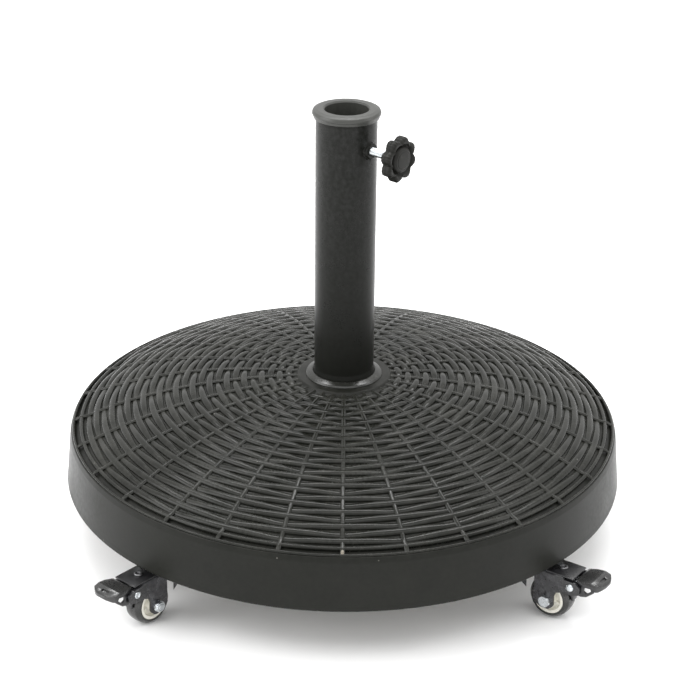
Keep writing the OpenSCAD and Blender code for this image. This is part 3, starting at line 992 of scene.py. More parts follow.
        x = tree.math("MULTIPLY", radius, tree.math("SINE", azimuth))
        y = tree.math("MULTIPLY", tree.math("MULTIPLY", radius, tree.math("COSINE", azimuth)), -1.0)
        spot = tree.add("ShaderNodeCombineXYZ", {0: x, 1: y, 2: level})
        placed = tree.add(
            "GeometryNodeSetPosition", {"Geometry": real.outputs[0], "Position": spot.outputs[0]}
        )
        girth = tree.math("MULTIPLY_ADD", tree.math("ABSOLUTE", wave), 0.12, 0.92)
        placed = tree.add("GeometryNodeSetCurveRadius", {"Curve": placed.outputs[0], "Radius": girth})
        lean = tree.math("ARCTANGENT", slope)
        placed = tree.add(
            "GeometryNodeSetCurveTilt",
            {"Curve": placed.outputs[0], "Tilt": tree.math("MULTIPLY", lean, -1.0)},
        )
        placed = tree.add("GeometryNodeSetCurveNormal", {"Curve": placed.outputs[0]})
        self._z_up(placed)
        section = self._profile(tree, src.outputs["Width"], src.outputs["Thickness"], 10)
        swept = tree.add("GeometryNodeCurveToMesh", {"Curve": placed.outputs[0], "Profile Curve": section})
        self._finish(tree, src, swept.outputs[0])
        return self._grow(
            "woven_canes", group, {"Width": self.cane_width / 2 * MM, "Thickness": self.cane_height / 2 * MM}
        )

    @staticmethod
    def _z_up(node: bpy.types.Node) -> None:
        """Keep curve sections upright, whichever way this build of Blender names it."""
        if hasattr(node, "mode"):
            node.mode = "Z_UP"
        else:
            node.inputs["Mode"].default_value = "Z Up"

    def _stakes_object(self) -> bpy.types.Object:
        """The radial stakes, bent to the dome and instanced round the axis."""
        inner, outer = 43.6, 252.6
        group, tree, src = self._open(
            "radial_stakes",
            [
                ("Inner radius", "NodeSocketFloat", inner * MM),
                ("Outer radius", "NodeSocketFloat", outer * MM),
                ("Sink", "NodeSocketFloat", self.stake_sink * MM),
            ],
        )
        steps = 72
        line = tree.add("GeometryNodeCurvePrimitiveLine", {"Start": (0, 0, 0), "End": (0, 0, 1)})
        line = tree.add("GeometryNodeResampleCurve", {"Curve": line.outputs[0], "Count": steps})
        along = tree.math("DIVIDE", tree.add("GeometryNodeInputIndex").outputs[0], float(steps - 1))
        reach = tree.math("SUBTRACT", src.outputs["Outer radius"], src.outputs["Inner radius"])
        radius = tree.math("MULTIPLY_ADD", along, reach, src.outputs["Inner radius"])
        height = self._dome_nodes(tree, src, radius)[0]
        level = tree.math("SUBTRACT", height, tree.math("ADD", src.outputs["Sink"], src.outputs["Thickness"]))
        over = tree.add("ShaderNodeMapRange", {0: radius, 1: 0.2405, 2: 0.2445, 3: 0.0, 4: 0.0013}).outputs[0]
        hook = tree.add("ShaderNodeMapRange", {0: radius, 1: 0.2500, 2: 0.2526, 3: 0.0, 4: 0.0030}).outputs[0]
        level = tree.math("SUBTRACT", tree.math("ADD", level, over), hook)
        spot = tree.add("ShaderNodeCombineXYZ", {0: 0.0, 1: tree.math("MULTIPLY", radius, -1.0), 2: level})
        bent = tree.add("GeometryNodeSetPosition", {"Geometry": line.outputs[0], "Position": spot.outputs[0]})
        bent = tree.add("GeometryNodeSetCurveNormal", {"Curve": bent.outputs[0]})
        self._z_up(bent)
        section = self._profile(tree, src.outputs["Width"], src.outputs["Thickness"], 8)
        swept = tree.add(
            "GeometryNodeCurveToMesh", {"Curve": bent.outputs[0], "Profile Curve": section, "Fill Caps": True}
        )
        points = tree.add("GeometryNodeMeshLine", {"Count": src.outputs["Stakes"], "Offset": (0, 0, 0)})
        number = tree.math("SUBTRACT", tree.add("GeometryNodeInputIndex").outputs[0], 14.0)
        each = tree.math("DIVIDE", TAU, src.outputs["Stakes"])
        turn = tree.math("MULTIPLY_ADD", number, each, src.outputs["Azimuth"])
        spin = tree.add("ShaderNodeCombineXYZ", {0: 0.0, 1: 0.0, 2: turn})
        copies = tree.add(
            "GeometryNodeInstanceOnPoints",
            {"Points": points.outputs[0], "Instance": swept.outputs[0], "Rotation": spin.outputs[0]},
        )
        self._finish(tree, src, copies.outputs[0])
        return self._grow(
            "radial_stakes", group,
            {"Width": self.stake_width / 2 * MM, "Thickness": self.stake_height / 2 * MM}
        )

    def _border_object(self) -> bpy.types.Object:
        """The rolled border and the bent tips of the stakes."""
        draft = Draft()
        for radius, width, thickness, lift in self.border:
            top = self.dome.height(radius) + lift
            lean = math.atan(self.dome.slope(radius))
            ring = []
            for i in range(14):
                a = TAU * i / 14
                across, up = width / 2 * math.cos(a), thickness / 2 * math.sin(a)
                ring.append(
                    (
                        radius + across * math.cos(lean) - up * math.sin(lean),
                        top - thickness / 2 + across * math.sin(lean) + up * math.cos(lean),
                    )
                )
            draft.lathe(ring, segments=232)
        for k in range(self.stakes):
            way = heading(self.stake_azimuth + 360.0 * k / self.stakes)
            tip = way * 251.6 + Vector((0, 0, self.dome.height(251.6) - 1.2))
            draft.ball(tip, 1.9, 12)
        self._gate_scar()
        return draft.build("woven_border", Palette.WEAVE, "base", angle=60.0)

    def _gate_scar(self) -> None:
        """Pale broken-off sprue on the tip of the front stake."""
        way = heading(self.stake_azimuth)
        scar = Draft()
        for reach, radius in ((248.8, 1.2), (250.0, 1.6), (251.2, 1.4)):
            scar.ball(way * reach + Vector((0, 0, self.dome.height(reach) + 0.1)), radius, 14)
        scar.build("gate_scar", Palette.SCAR, "base", angle=60.0)


# ---------------------------------------------------------------------------
# Upright
# ---------------------------------------------------------------------------


@dataclass
class Upright:
    """Tube with its flared foot, and the reducer collar in its mouth."""

    radius: float = 27.5
    wall: float = 1.6
    bore: float = 19.5
    segments: int = 128

    def build(self) -> None:
        """Make the tube and the collar in place of their CAD nodes."""
        low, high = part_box("upright_tube")
        bottom, top = low.z / MM, high.z / MM
        inner = self.radius - self.wall
        profile = fillet(
            [
                (inner, bottom),
                (self.radius, bottom),
                (self.radius, 156.5),
                (self.radius + 0.9, 156.6, 0.4),
                (self.radius + 0.6, 158.4, 1.2),
                (self.radius, 162.0, 3.0),
                (self.radius, top),
                (inner, top),
            ],
            steps=4,
        )
        draft = Draft()
        draft.lathe(profile, segments=self.segments)
        tube = draft.build("tube_body", Palette.TUBE, "base")
        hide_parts("upright_tube")
        self._collar()
        paint_node("tube_plug", Palette.RIVET)

    def _collar(self) -> None:
        """Flange of two stacked rings, chamfered bore and spigot."""
        low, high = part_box("collar")
        top, bottom = high.z / MM, low.z / MM
        outer = high.x / MM
        spigot = self.radius - self.wall - 0.05
        base = top - 8.0
        profile = fillet(
            [
                (self.bore, bottom),
                (spigot, bottom, 0.6),
                (spigot, top - 4.2),
                (self.radius + 0.05, top - 4.2),
                (self.radius + 0.05, base),
                (self.radius + 1.9, base, 0.7),
                (self.radius + 2.3, base + 2.9, 0.5),
                (outer - 0.1, base + 3.1, 0.5),
                (outer, base + 4.6, 0.8),
                (outer - 0.9, base + 6.9, 1.8),
                (self.radius - 1.6, top, 1.6),
                (self.bore + 1.3, top, 0.5),
                (self.bore, top - 1.4, 0.6),
            ],
            steps=5,
        )
        draft = Draft()
        draft.lathe(profile, segments=self.segments)
        piece = draft.build("collar_body", Palette.COLLAR, "base", angle=50.0)
        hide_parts("collar")


@dataclass
class ClampScrew:
    """Welded boss, threaded stud, lobed knob and its cap."""

    azimuth: float = 50.5
    stud_radius: float = 4.0
    thread_pitch: float = 1.25
    knob_radius: float = 20.3
    lobes: int = 8
    face: float = 64.0
    back: float = 54.0
    groove: float = 14.6

    def build(self) -> None:
        """Make the whole screw, each piece on its own CAD body."""
        low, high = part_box("clamp_stud")
        way = heading(self.azimuth)
        height = (low.z + high.z) / 2 / MM
        side = Vector((0, 0, 1))
        place = Matrix(
            (
                (*way.cross(side).to_tuple(), 0.0),
                (*side.to_tuple(), 0.0),
                (*way.to_tuple(), 0.0),
                (0.0, 0.0, 0.0, 1.0),
            )
        ).transposed()
        place = Matrix.Translation((0, 0, height)) @ place.to_3x3().to_4x4()
        self._boss(place)
        self._stud(place)
        self._knob(place)
        self._cap(place)
        paint_node("clamp_pad", Palette.PAD)

    def _boss(self, place: Matrix) -> None:
        """Boss with a small weld bead where it meets the tube."""
        draft = Draft(place)
        draft.lathe(
            fillet([(4.1, 25.8), (7.4, 25.8), (7.4, 29.2, 0.9), (6.6, 30.1, 0.6), (4.1, 30.1, 0.3)], steps=4),
            segments=48,
        )
        bead = []
        radius, tube = 7.5, 27.5
        for s in range(64):
            a = TAU * s / 64
            swell = 1.0 + 0.18 * math.sin(a * 11)
            centre = Vector((radius * math.cos(a), radius * math.sin(a), 0))
            centre.z = math.sqrt(tube**2 - centre.x**2) - 0.1
            out = Vector((math.cos(a), math.sin(a), 0))
            bead.append(
                [centre + (out * math.cos(b) + Vector((0, 0, 1)) * math.sin(b)) * swell
                for b in np.linspace(0, TAU, 8, endpoint=False)]
            )
        verts = [p for ring in bead for p in ring]
        faces = []
        for s in range(64):
            for b in range(8):
                t, c = (s + 1) % 64, (b + 1) % 8
                faces.append((s * 8 + b, t * 8 + b, t * 8 + c, s * 8 + c))
        draft.add(verts, faces)
        piece = draft.build("clamp_boss", Palette.TUBE, "base", angle=50.0)
        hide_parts("weld_nut")

    def _stud(self, place: Matrix) -> None:
        """Zinc stud with a rolled thread and a turned nose."""
        low, start, end = 22.6, 25.0, self.face - 5.0
        per_turn = 28
        rows = int((end - start) / self.thread_pitch * 8)
        verts, faces = [], []
        for j in range(rows + 1):
            z = start + (end - start) * j / rows
            fade = min(1.0, (z - start) / 1.2, (end - z) / 1.2)
            for s in range(per_turn):
                a = TAU * s / per_turn
                turn = (z / self.thread_pitch - a / TAU) % 1.0
                depth = 0.52 * abs(2 * turn - 1) * max(fade, 0.0) + 0.5 * (1 - max(fade, 0.0))
                r = self.stud_radius - depth
                verts.append((r * math.cos(a), r * math.sin(a), z))
        for j in range(rows):
            for s in range(per_turn):
                t = (s + 1) % per_turn
                faces.append(
                    (j * per_turn + s, j * per_turn + t, (j + 1) * per_turn + t, (j + 1) * per_turn + s)
                )
        faces.append(tuple(reversed(range(per_turn))))
        faces.append(tuple(range(rows * per_turn, (rows + 1) * per_turn)))
        draft = Draft(place)
        draft.add(verts, faces)
        draft.lathe(
            fillet([(0, low), (2.5, low, 0.4), (2.5, 25.2), (0, 25.2)], steps=3),
            segments=24,
            closed=False,
        )
        piece = draft.build("clamp_stud_body", Palette.ZINC, "clamp_screw", angle=60.0)
        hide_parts("clamp_stud")

    def _lobed(self, angle: float, inset: float) -> float:
        """Radius of the knob's edge at an angle, less an inset."""
        wave = math.cos(self.lobes * (angle - 0.28))
        bulge = 0.5 + 0.5 * wave
        bulge = bulge**0.62
        grip = 0.22 * math.cos(self.lobes * 6 * angle) * bulge
        return self.knob_radius - 3.6 + 3.6 * bulge + grip - inset

    def _knob(self, place: Matrix) -> None:
        """Lobed rim with ribbed flanks, a groove and a boss behind."""
        lobed = self._lobed
        layers: list[Callable[[float], Point2]] = [
            lambda a: (4.1, self.back - 2.5), lambda a: (7.4, self.back - 2.5)
        ]
        layers += [lambda a: (8.0, self.back - 2.0), lambda a: (8.3, self.back)]
        steps = [
            (4.0, 0.0),
            (1.2, 0.15),
            (0.3, 0.9),
            (0.0, 1.8),
            (0.0, 4.6),
            (0.25, 4.7),
            (0.25, 5.1),
            (0.0, 5.2),
        ]
        steps += [(0.0, 7.4), (0.35, 8.4), (1.1, 9.3), (2.1, 9.8), (3.0, 10.0)]
        for inset, rise in steps:
            layers.append(lambda a, i=inset, r=rise: (lobed(a, i), self.back + r))
        rim = self.groove
        layers += [
            lambda a: (0.35 * lobed(a, 3.4) + 0.65 * (rim + 0.8), self.back + 9.9),
            lambda a: (rim + 0.2, self.back + 9.5),
            lambda a: (rim - 0.9, self.back + 8.2),
            lambda a: (rim - 1.8, self.back + 7.2),
            lambda a: (rim - 2.8, self.back + 6.9),
            lambda a: (6.0, self.back + 6.5),
            lambda a: (4.1, self.back + 6.4),
        ]
        draft = Draft(place)
        draft.loft(layers, Matrix.Identity(4), 384, closed=True)
        piece = draft.build("knob_body", Palette.KNOB, "clamp_screw", angle=55.0)
        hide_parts("knob")

    def _cap(self, place: Matrix) -> None:
        """Domed cap with a round flat in its middle."""
        draft = Draft(place)
        profile = fillet(
            [
                (0.0, 60.2),
                (11.6, 60.2),
                (12.2, 61.4, 0.6),
                (11.2, 63.6, 2.0),
                (9.0, 64.6, 1.0),
                (8.2, 64.5, 0.5),
                (7.4, 64.9, 0.8),
                (0.0, 65.1),
            ],
            closed=False,
            steps=5,
        )
        draft.lathe(profile, segments=72, closed=False)
        piece = draft.build("knob_centre", Palette.KNOB, "clamp_screw", angle=60.0)
        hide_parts("knob_cap")


# ---------------------------------------------------------------------------
# Casters
# ---------------------------------------------------------------------------


@dataclass
class Caster:
    """One braked swivel caster, made in its own frame: u outwards, v across, w up."""

    number: int
    wheel_radius: float = 20.0
    wheel_half: float = 9.0
    axle_u: float = 16.25
    leg_in: float = 11.0
    leg_out: float = 13.0
    crown: float = 48.9
    place: Matrix = field(init=False)

    def __post_init__(self) -> None:
        """Find the caster's frame from its swivel and brake joints."""
        joints = {j["name"]: j for j in frame["joints"]}
        swivel = joints[f"c{self.number}_swivel"]["pos_m"]
        brake = joints[f"c{self.number}_brake_tilt"]["axis"]
        v = -Vector(brake)
        u = Vector((v.y, -v.x, 0.0))
        turn = Matrix(((u.x, v.x, 0, 0), (u.y, v.y, 0, 0), (0, 0, 1, 0), (0, 0, 0, 1)))
        self.place = Matrix.Translation((swivel[0] / MM, swivel[1] / MM, 0.0)) @ turn
        self.fork_body = f"c{self.number}_swivel_fork"
        self.wheel_body = f"c{self.number}_wheel"
        self.brake_body = f"c{self.number}_brake"

    # -- frames ------------------------------------------------------------

    def _name(self, part: str) -> str:
        """A piece's name on this caster."""
        return f"caster{self.number}_{part}"

    def _node(self, part: str) -> str:
        """A CAD node's name on this caster."""
        return f"c{self.number}_{part}"

    def _side(self) -> Matrix:
        """Frame whose x is u, y is w and z is -v, for shapes outlined from the side."""
        return Matrix.Rotation(math.radians(90), 4, "X")

    def _axle(self, u: float, w: float) -> Matrix:
        """Frame whose z runs along +v, at a point in the side view."""
        return Matrix.Translation((u, 0, w)) @ Matrix.Rotation(math.radians(-90), 4, "X")

    def _plate(self, outline: Sequence[Point2], v0: float, v1: float) -> bpy.types.Object:
        """A flat plate outlined in u and w, between v0 and v1."""
        draft = Draft(self.place)
        draft.prism(outline, -v1, -v0, self._side())
        return draft.raw("plate")

    # -- pieces ------------------------------------------------------------

    def build(self) -> None:
        """Make every piece of the caster."""
        self._mount_plate()
        self._fork()
        self._leaf()
        self._fasteners()
        self._wheel()
        self._lever()
        self._pedal()

    def _mount_plate(self) -> None:
        """The plate screwed up under the disc."""
        paint_node(self._node("plate"), Palette.PRESSED, bevel=0.4)

    def _leg_outline(self) -> list[Point2]:
        """Outline of a fork's leg, in u and w."""
        corners = [
            (-15.4, self.crown + 2),
            (-15.4, 41.0, 2.0),
            (-13.0, 39.2, 3.0),
            (-9.2, 30.6, 4.0),
            (2.4, 21.4, 5.0),
            (5.4, 14.8, 5.0),
            (11.0, 11.6, 4.0),
            (19.0, 11.4, 5.0),
            (24.0, 16.0, 5.0),
            (23.6, 25.6, 5.0),
            (25.6, 31.0, 3.0),
            (33.0, 33.9, 3.0),
            (42.0, 33.4, 3.0),
            (48.4, 36.0, 3.2),
            (48.4, 43.6, 3.0),
            (43.0, 46.6, 3.0),
            (33.0, self.crown - 2.2, 3.0),
            (30.4, self.crown + 2),
        ]
        return fillet(corners, steps=6)

    def _fork(self) -> None:
        """Pressed fork: a channel cut to the side outline, with its bend rounded."""
        out, inner, top = self.leg_out, self.leg_in, self.crown
        section = fillet(
            [
                (-out, 8.0),
                (-out, top, 2.6),
                (out, top, 2.6),
                (out, 8.0),
                (inner, 8.0),
                (inner, top - 2.4, 1.0),
                (-inner, top - 2.4, 1.0),
                (-inner, 8.0),
            ],
            steps=6,
        )
        across = Matrix(((0, 0, 1, 0), (1, 0, 0, 0), (0, 1, 0, 0), (0, 0, 0, 1)))
        draft = Draft(self.place)
        draft.prism(section, -16.0, 60.0, across)
        fork = draft.raw(self._name("fork"))
        carve(fork, self._plate(self._leg_outline(), -20.0, 20.0), "INTERSECT")
        plan = Draft(self.place)
        plan.prism(arc((0, 0), 15.5, 236, 124, 24) + [(70, out + 0.01), (70, -out - 0.01)], 0, 60)
        carve(fork, plan.raw("plan"), "INTERSECT")
        gap = Draft(self.place)
        gap.prism([(30.6, -inner), (70, -inner), (70, inner), (30.6, inner)], 30, 60)
        carve(fork, gap.raw("gap"))
        hollow = Draft(self.place)
        hollow.lathe([(0, 8.0), (13.4, 8.0), (13.4, top - 2.4), (0, top - 2.4)], segments=64, closed=False)
        carve(fork, hollow.raw("hollow"))
        dress(fork, Palette.PRESSED, self.fork_body, angle=40.0, bevel=0.35)
        race = Draft(self.place)
        race.lathe(
            fillet(
                [(9.5, top - 0.4), (13.5, top - 0.4), (13.5, top + 2.4, 0.7), (9.5, top + 2.4, 0.7)],
                steps=3,
            ),
            segments=56,
        )
        race.build(self._name("race"), Palette.PRESSED, self.fork_body)
        skirt = Draft(self.place)
        skirt.loft(
            [
                lambda a, r=r, z=z: (r, z)
                for r,
                z in fillet(
                    [
                        (13.4, 40.4, 0.4),
                        (15.5, 40.4, 0.4),
                        (15.5, top, 2.4),
                        (9.4, top),
                        (9.4, top - 2.3),
                        (13.4, top - 2.3, 0.8),
                    ],
                    steps=4,
                )
            ],
            Matrix.Identity(4),
            64,
            closed=True,
        )
        pressing = skirt.raw(self._name("skirt"))
        block = Draft(self.place)
        block.prism([(-1.0, -20), (30, -20), (30, 20), (-1.0, 20)], 20, top - 2.5)
        carve(pressing, block.raw("block"))
        dress(pressing, Palette.PRESSED, self.fork_body, angle=40.0)
        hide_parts(self._node("fork"))

    def _leaf(self) -> None:
        """Leaf plate that clips the brake down, cut round the bearing."""
        outline = [(14.2, -12.2), (41.6, -12.2), (41.6, 12.2), (14.2, 12.2)]
        draft = Draft(self.place)
        draft.prism(fillet([(x, y, 1.2) for x, y in outline], steps=4), self.crown, self.crown + 1.2)
        leaf = draft.raw(self._name("leaf"))
        round_cut = Draft(self.place)
        round_cut.lathe([(0, 40), (14.8, 40), (14.8, 60), (0, 60)], segments=64, closed=False)
        carve(leaf, round_cut.raw("round_cut"))
        dress(leaf, Palette.PRESSED, self.fork_body, angle=40.0, bevel=0.3)
        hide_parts(self._node("leaf"))
        screw = Draft(self.place)
        at = Matrix.Translation((25.4, 0, self.crown + 1.2))
        screw.lathe(
            fillet(
                [
                    (0, -3.0),
                    (2.0, -3.0),
                    (2.0, 0.0),
                    (3.8, 0.0, 0.2),
                    (3.8, 1.1, 0.6),
                    (3.1, 1.75, 0.4),
                    (2.3, 1.7, 0.2),
                    (1.9, 0.5, 0.2),
                    (0, 0.4),
                ],
                closed=False,
                steps=4,
            ),
            at,
            segments=40,
            closed=False,
        )
        head = screw.build(self._name("leaf_screw"), Palette.RIVET, self.fork_body, angle=40.0)
        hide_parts(self._node("leaf_screw"))

    def _hexagon(self, draft: Draft, at: Matrix, across: float, low: float, high: float, turn: float) -> None:
        """Hex with chamfered corners, between two heights of a local frame."""
        corner = across / math.sqrt(3)

        def edge(a: float, inset: float) -> float:
            """Distance to the hex's side at an angle."""
            a = (a - math.radians(turn)) % (TAU / 6)
            return min(across / 2 / math.cos(a - TAU / 12), corner) - inset

        def capped(a: float, z: float) -> Point2:
            """The side's distance, cut by the chamfer's circle."""
            return (min(edge(a, 0.0), across / 2 + 0.12), z)

        layers = [
            lambda a: (0.0, low),
            lambda a: capped(a, low),
            lambda a: (edge(a, 0.0), low + 0.5),
            lambda a: (edge(a, 0.0), high - 0.5),
            lambda a: capped(a, high),
            lambda a: (across / 2 - 0.6, high + 0.05),
            lambda a: (0.0, high + 0.05),
        ]
        draft.loft(layers, at, 72, closed=False)

    def _fasteners(self) -> None:
        """Axle bolt, its nut and the brake pin, all zinc."""
        axle = self._axle(self.axle_u, self.wheel_radius)
        out = self.leg_out
        bolt = Draft(self.place)
        bolt.lathe(
            fillet(
                [(0, -out - 1), (3.0, -out - 1), (3.0, out + 5.4, 0.6), (0, out + 5.4)],
                closed=False,
                steps=3,
            ),
            axle,
            40,
            closed=False,
        )
        self._hexagon(bolt, axle, 10.0, -out - 4.0, -out, 12)
        piece = bolt.build(self._name("axle_bolt"), Palette.ZINC, self.fork_body, angle=30.0)
        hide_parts(self._node("axle_bolt"))
        nut = Draft(self.place)
        self._hexagon(nut, axle, 10.0, out, out + 3.8, 18)
        nut.lathe(
            fillet(
                [(3.1, out + 3.6), (4.7, out + 3.6), (4.6, out + 5.1, 0.5), (3.1, out + 5.1, 0.3)],
                steps=3,
            ),
            axle,
            40,
        )
        piece = nut.build(self._name("axle_nut"), Palette.ZINC, self.fork_body, angle=30.0)
        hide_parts(self._node("axle_nut"))
        pin = Draft(self.place)
        at = self._axle(39.0, 41.0)
        head = [(0, -out - 2.3), (1.8, -out - 2.15, 1.0), (3.4, -out - 1.2, 1.0), (3.9, -out, 0.3), (0, -out)]
        pin.lathe(fillet(head, closed=False, steps=4), at, 40, closed=False)
        pin.lathe(
            fillet([(0, -out - 0.4), (2.5, -out - 0.4), (2.5, out + 0.4), (0, out + 0.4)], closed=False),
            at,
            32,
            closed=False,
        )
        pin.lathe(
            fillet(
                [(1.5, out), (3.3, out), (3.1, out + 0.9, 0.5), (1.9, out + 1.0, 0.4), (1.5, out + 0.3)],
                steps=4,
            ),
            at,
            32,
        )
        piece = pin.build(self._name("brake_pin"), Palette.ZINC, self.fork_body, angle=40.0)
        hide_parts(self._node("brake_pin"))

    def _wheel(self) -> None:
        """Dished cream hub with webs, and a glossy tyre with rounded shoulders."""
        axle = self._axle(self.axle_u, self.wheel_radius)
        h = self.wheel_half
        hub = Draft(self.place)
        half = [
            (3.05, 10.5),
            (6.3, 10.5, 0.5),
            (7.0, 4.2, 1.2),
            (11.2, 4.0, 1.0),
            (12.2, h - 0.5, 0.5),
            (14.6, h - 0.1, 0.5),
            (15.0, h - 0.6, 0.3),
        ]
        other = [(r, -z, *rest) for r, z, *rest in reversed(half)]
        hub.lathe(fillet(half + other, steps=4), axle, 96)
        for k in range(5):
            a = math.radians(72 * k + 20)
            way = Vector((math.cos(a), math.sin(a), 0))
            side = Vector((-way.y, way.x, 0))
            for low, high in ((3.0, 7.0), (-7.0, -3.0)):
                corners = [
                    way * 6.2 - side * 0.6,
                    way * 12.0 - side * 0.6,
                    way * 12.0 + side * 0.6,
                    way * 6.2 + side * 0.6,
                ]
                hub.prism([(c.x, c.y) for c in corners], low, high, axle)
        piece = hub.build(self._name("hub"), Palette.HUB, self.wheel_body, angle=40.0)
        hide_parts(self._node("hub"))
        tyre = Draft(self.place)
        r = self.wheel_radius
        profile = [
            (15.0, -h, 0.0),
            (r - 3.2, -h, 2.0),
            (r - 0.5, -h + 3.2, 3.4),
            (r, 0.0, 12.0),
            (r - 0.5, h - 3.2, 3.4),
            (r - 3.2, h, 2.0),
            (15.0, h, 0.0),
        ]
        tyre.lathe(fillet(profile, steps=6), axle, 128)
        piece = tyre.build(self._name("tyre"), Palette.TYRE, self.wheel_body, angle=60.0)
        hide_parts(self._node("tyre"))

    def _lever(self) -> None:
        """Brake lever: two cheeks with a see-through window, a bridge and the shoe."""
        draft = Draft(self.place)
        side = self._side()
        axle = (self.axle_u, self.wheel_radius)
        bridge = [(45.4, 46.8), (62.4, 47.6), (62.4, 49.4), (45.0, 48.6)]
        draft.prism(bridge, -8.5, 8.5, side)
        draft.prism(fillet([(33.4, 38.4, 1), (36.6, 35.4, 1), (38.2, 37.0), (34.8, 41.0)]), -8.4, 8.4, side)
        shoe = arc(axle, self.wheel_radius + 0.5, 6, 39, 10) + arc(axle, self.wheel_radius + 2.4, 39, 6, 10)
        draft.prism(shoe, -3.6, 3.6, side)
        draft.prism([(32.4, 34.4), (34.4, 33.2), (38.0, 37.0), (34.8, 39.6)], -3.5, 3.5, side)
        lever = draft.raw(self._name("lever"))
        cheeks = Draft(self.place)
        corners = [
            *[(x, y) for x, y in arc((39.0, 41.0), 6.0, 100, 235, 12)],
            (40.5, 34.4, 2.0),
            (48.6, 33.7, 2.0),
            (54.0, 35.2, 2.5),
            (60.8, 41.2, 2.0),
            (62.5, 44.8, 1.0),
            (62.5, 49.3),
            (45.0, 48.6),
            (43.2, 46.4),
        ]
        outline = fillet(corners, steps=5)
        for low, high in ((-9.8, -8.0), (8.0, 9.8)):
            cheeks.prism(outline, low, high, side)
        plates = cheeks.raw("cheeks")
        window = Draft(self.place)
        hole = fillet(
            [
                (51.0, 40.0, 1.2),
                (54.2, 38.4, 1.0),
                (58.4, 42.2, 1.0),
                (57.4, 44.6, 1.0),
                (51.8, 43.8, 1.2),
            ]
        )
        window.prism(hole, -12, 12, side)
        carve(plates, window.raw("window"))
        joined = bmesh.new()
        joined.from_mesh(lever.data)
        joined.from_mesh(plates.data)
        joined.to_mesh(lever.data)
        joined.free()
        bpy.data.objects.remove(plates)
        dress(lever, Palette.PRESSED, self.brake_body, angle=40.0, bevel=0.3)
        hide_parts(self._node("lever"))

    def _pedal(self) -> None:
        """Wedge pedal with a bevelled rounded nose and a slot pressed in it."""
        side = self._side()
        profile = fillet(
            [
                (44.4, 48.6, 0.4),
                (44.4, 50.6, 0.8),
                (46.6, 51.2, 1.0),
                (52.0, 51.8, 3.0),
                (59.7, 52.6, 1.0),
                (69.9, 49.4, 1.4),
                (69.6, 46.9, 1.0),
                (66.0, 45.2, 1.0),
                (62.9, 45.4, 0.4),
                (62.6, 49.4),
                (45.0, 48.6),
            ],
            steps=4,
        )
        draft = Draft(self.place)
        draft.prism(profile, -15, 15, side)
        pedal = draft.raw(self._name("pedal"))
        nose = arc((50.6, 0), 19.3, -43.5, 43.5, 22)
        plan_outline = fillet([(44.0, -10.6, 1.0), (47.4, -11.4, 3.0), (52.2, -13.1, 4.0)], closed=False)
        plan_outline += [(x, y) for x, y in nose] + [(x, -y) for x, y in reversed(plan_outline)]
        plan = Draft(self.place)
        plan.prism(plan_outline, 30, 60)
        carve(pedal, plan.raw("plan"), "INTERSECT")
        tilt = Matrix.Translation((64.4, 0, 51.1)) @ Matrix.Rotation(math.radians(17.5), 4, "Y")
        slot = Draft(self.place)
        slot.prism(
            fillet([(-1.5, -4.4, 1.4), (1.5, -4.4, 1.4), (1.5, 4.4, 1.4), (-1.5, 4.4, 1.4)]),
            -1.4,
            4.0,
            tilt,
        )
        carve(pedal, slot.raw("slot"))
        dress(pedal, Palette.PEDAL, self.brake_body, angle=35.0, bevel=0.5)
        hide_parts(self._node("pedal"))


# ---------------------------------------------------------------------------
# Small parts that stay as their CAD nodes
# ---------------------------------------------------------------------------


class Fixings:
    """Hidden and underside fasteners, finished on their CAD nodes."""

    LOOKS = {
        "fixing_bolt": (Palette.ZINC, 0.4),
        "fixing_washer": (Palette.ZINC, 0.3),
        "kingpins": (Palette.RIVET, 0.4),
        "plate_screws": (Palette.ZINC, 0.4),
    }

    def build(self) -> None:
        """Paint each of them."""
        for name, (look, bevel) in self.LOOKS.items():
            paint_node(name, look, bevel)


# ---------------------------------------------------------------------------
# Studio
# ---------------------------------------------------------------------------


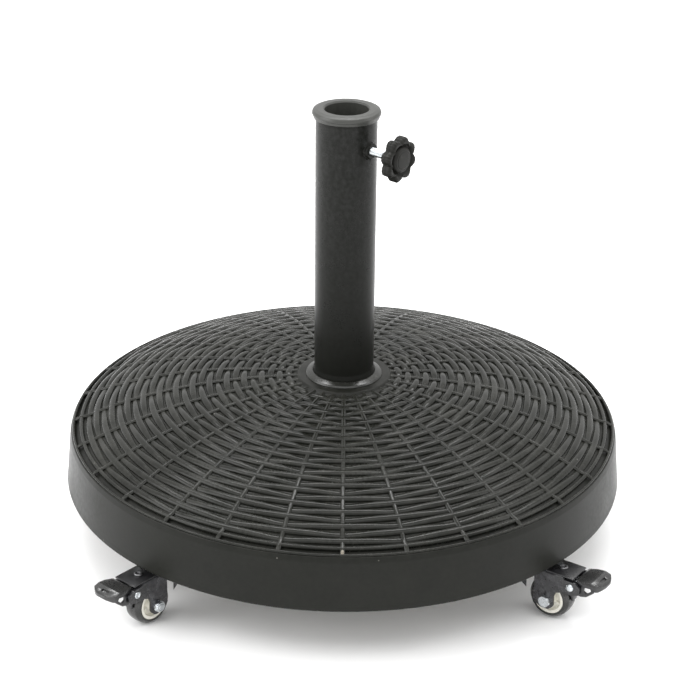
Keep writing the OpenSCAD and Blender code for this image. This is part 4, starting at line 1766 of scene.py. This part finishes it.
@dataclass
class Studio:
    """Pale floor, soft lights and the camera."""

    camera_place: Point3 = (0.0055, -1.6849, 0.9776)
    elevation: float = 25.435
    roll: float = 0.711
    lens: float = 103.44
    sky: float = 1.15

    def build(self) -> None:
        """Set the whole studio."""
        self._world()
        self._floor()
        self._lights()
        self._camera()

    def _world(self) -> None:
        """Even white surroundings."""
        world = bpy.data.worlds.new("studio_sky")
        bpy.context.scene.world = world
        world.use_nodes = True
        sky = world.node_tree.nodes["Background"]
        sky.inputs["Color"].default_value = (1.0, 1.0, 1.0, 1.0)
        sky.inputs["Strength"].default_value = self.sky

    def _floor(self) -> None:
        """Plain pale floor."""
        size = 12.0
        mesh = bpy.data.meshes.new("floor")
        mesh.from_pydata(
            [(-size, -size, 0), (size, -size, 0), (size, size, 0), (-size, size, 0)], [], [(0, 1, 2, 3)]
        )
        floor = bpy.data.objects.new("floor", mesh)
        bpy.context.scene.collection.objects.link(floor)
        look = Finish(
            "floor_paper",
            (0.95, 0.95, 0.95),
            0.9,
            mottle=0.01,
            spread=0.02,
            grain=30.0,
            bump=0.02,
            wear=0.0,
            dust=0.0,
            specular=0.1,
        )
        mesh.materials.append(look.material())

    def _area(self, name: str, place: Point3, aim: Point3, size: Point2, power: float) -> None:
        """One soft lamp, aimed at a point.

        Args:
            name: name of the lamp.
            place: where it hangs.
            aim: point that it faces.
            size: its width and height.
            power: its power in watts.
        """
        data = bpy.data.lights.new(name, "AREA")
        data.shape = "RECTANGLE"
        data.size, data.size_y = size
        data.energy = power
        lamp = bpy.data.objects.new(name, data)
        bpy.context.scene.collection.objects.link(lamp)
        way = Vector(aim) - Vector(place)
        lamp.matrix_world = Matrix.Translation(place) @ way.to_track_quat("-Z", "Y").to_matrix().to_4x4()

    def _lights(self) -> None:
        """The soft lamps."""
        self._area("key_left", (-2.2, -0.6, 1.5), (0, 0, 0.15), (1.6, 1.6), 34.0)
        self._area("fill_right", (2.4, -0.2, 1.5), (0, 0, 0.15), (1.0, 1.8), 13.0)
        self._area("top_strip", (0.0, 0.9, 2.4), (0, 0, 0.1), (2.6, 0.3), 46.0)
        self._area("floor_wash", (0.0, -1.5, 2.6), (0, -0.6, 0.0), (3.0, 1.2), 24.0)

    def _camera(self) -> None:
        """The camera that looks at the front."""
        data = bpy.data.cameras.new("view")
        data.lens = self.lens
        data.sensor_width = 36.0
        cam = bpy.data.objects.new("view", data)
        bpy.context.scene.collection.objects.link(cam)
        el, roll = math.radians(self.elevation), math.radians(self.roll)
        forward = Vector((0, math.cos(el), -math.sin(el)))
        right, up = Vector((1, 0, 0)), Vector((0, math.sin(el), math.cos(el)))
        x = right * math.cos(roll) + up * math.sin(roll)
        y = up * math.cos(roll) - right * math.sin(roll)
        turn = Matrix((x, y, -forward)).transposed().to_4x4()
        cam.matrix_world = Matrix.Translation(self.camera_place) @ turn
        bpy.context.scene.camera = cam


def main() -> None:
    """Build the looks of the whole object."""
    logging.basicConfig(level=logging.INFO, format="%(name)s: %(message)s")
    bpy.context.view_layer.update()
    scene = bpy.context.scene
    scene.view_settings.view_transform = "Standard"
    dome = Dome()
    Studio().build()
    DiscShell(dome).build()
    WovenTop(dome).build()
    Upright().build()
    ClampScrew().build()
    for number in range(1, 5):
        Caster(number).build()
    Fixings().build()


if __name__ == "__main__":
    main()
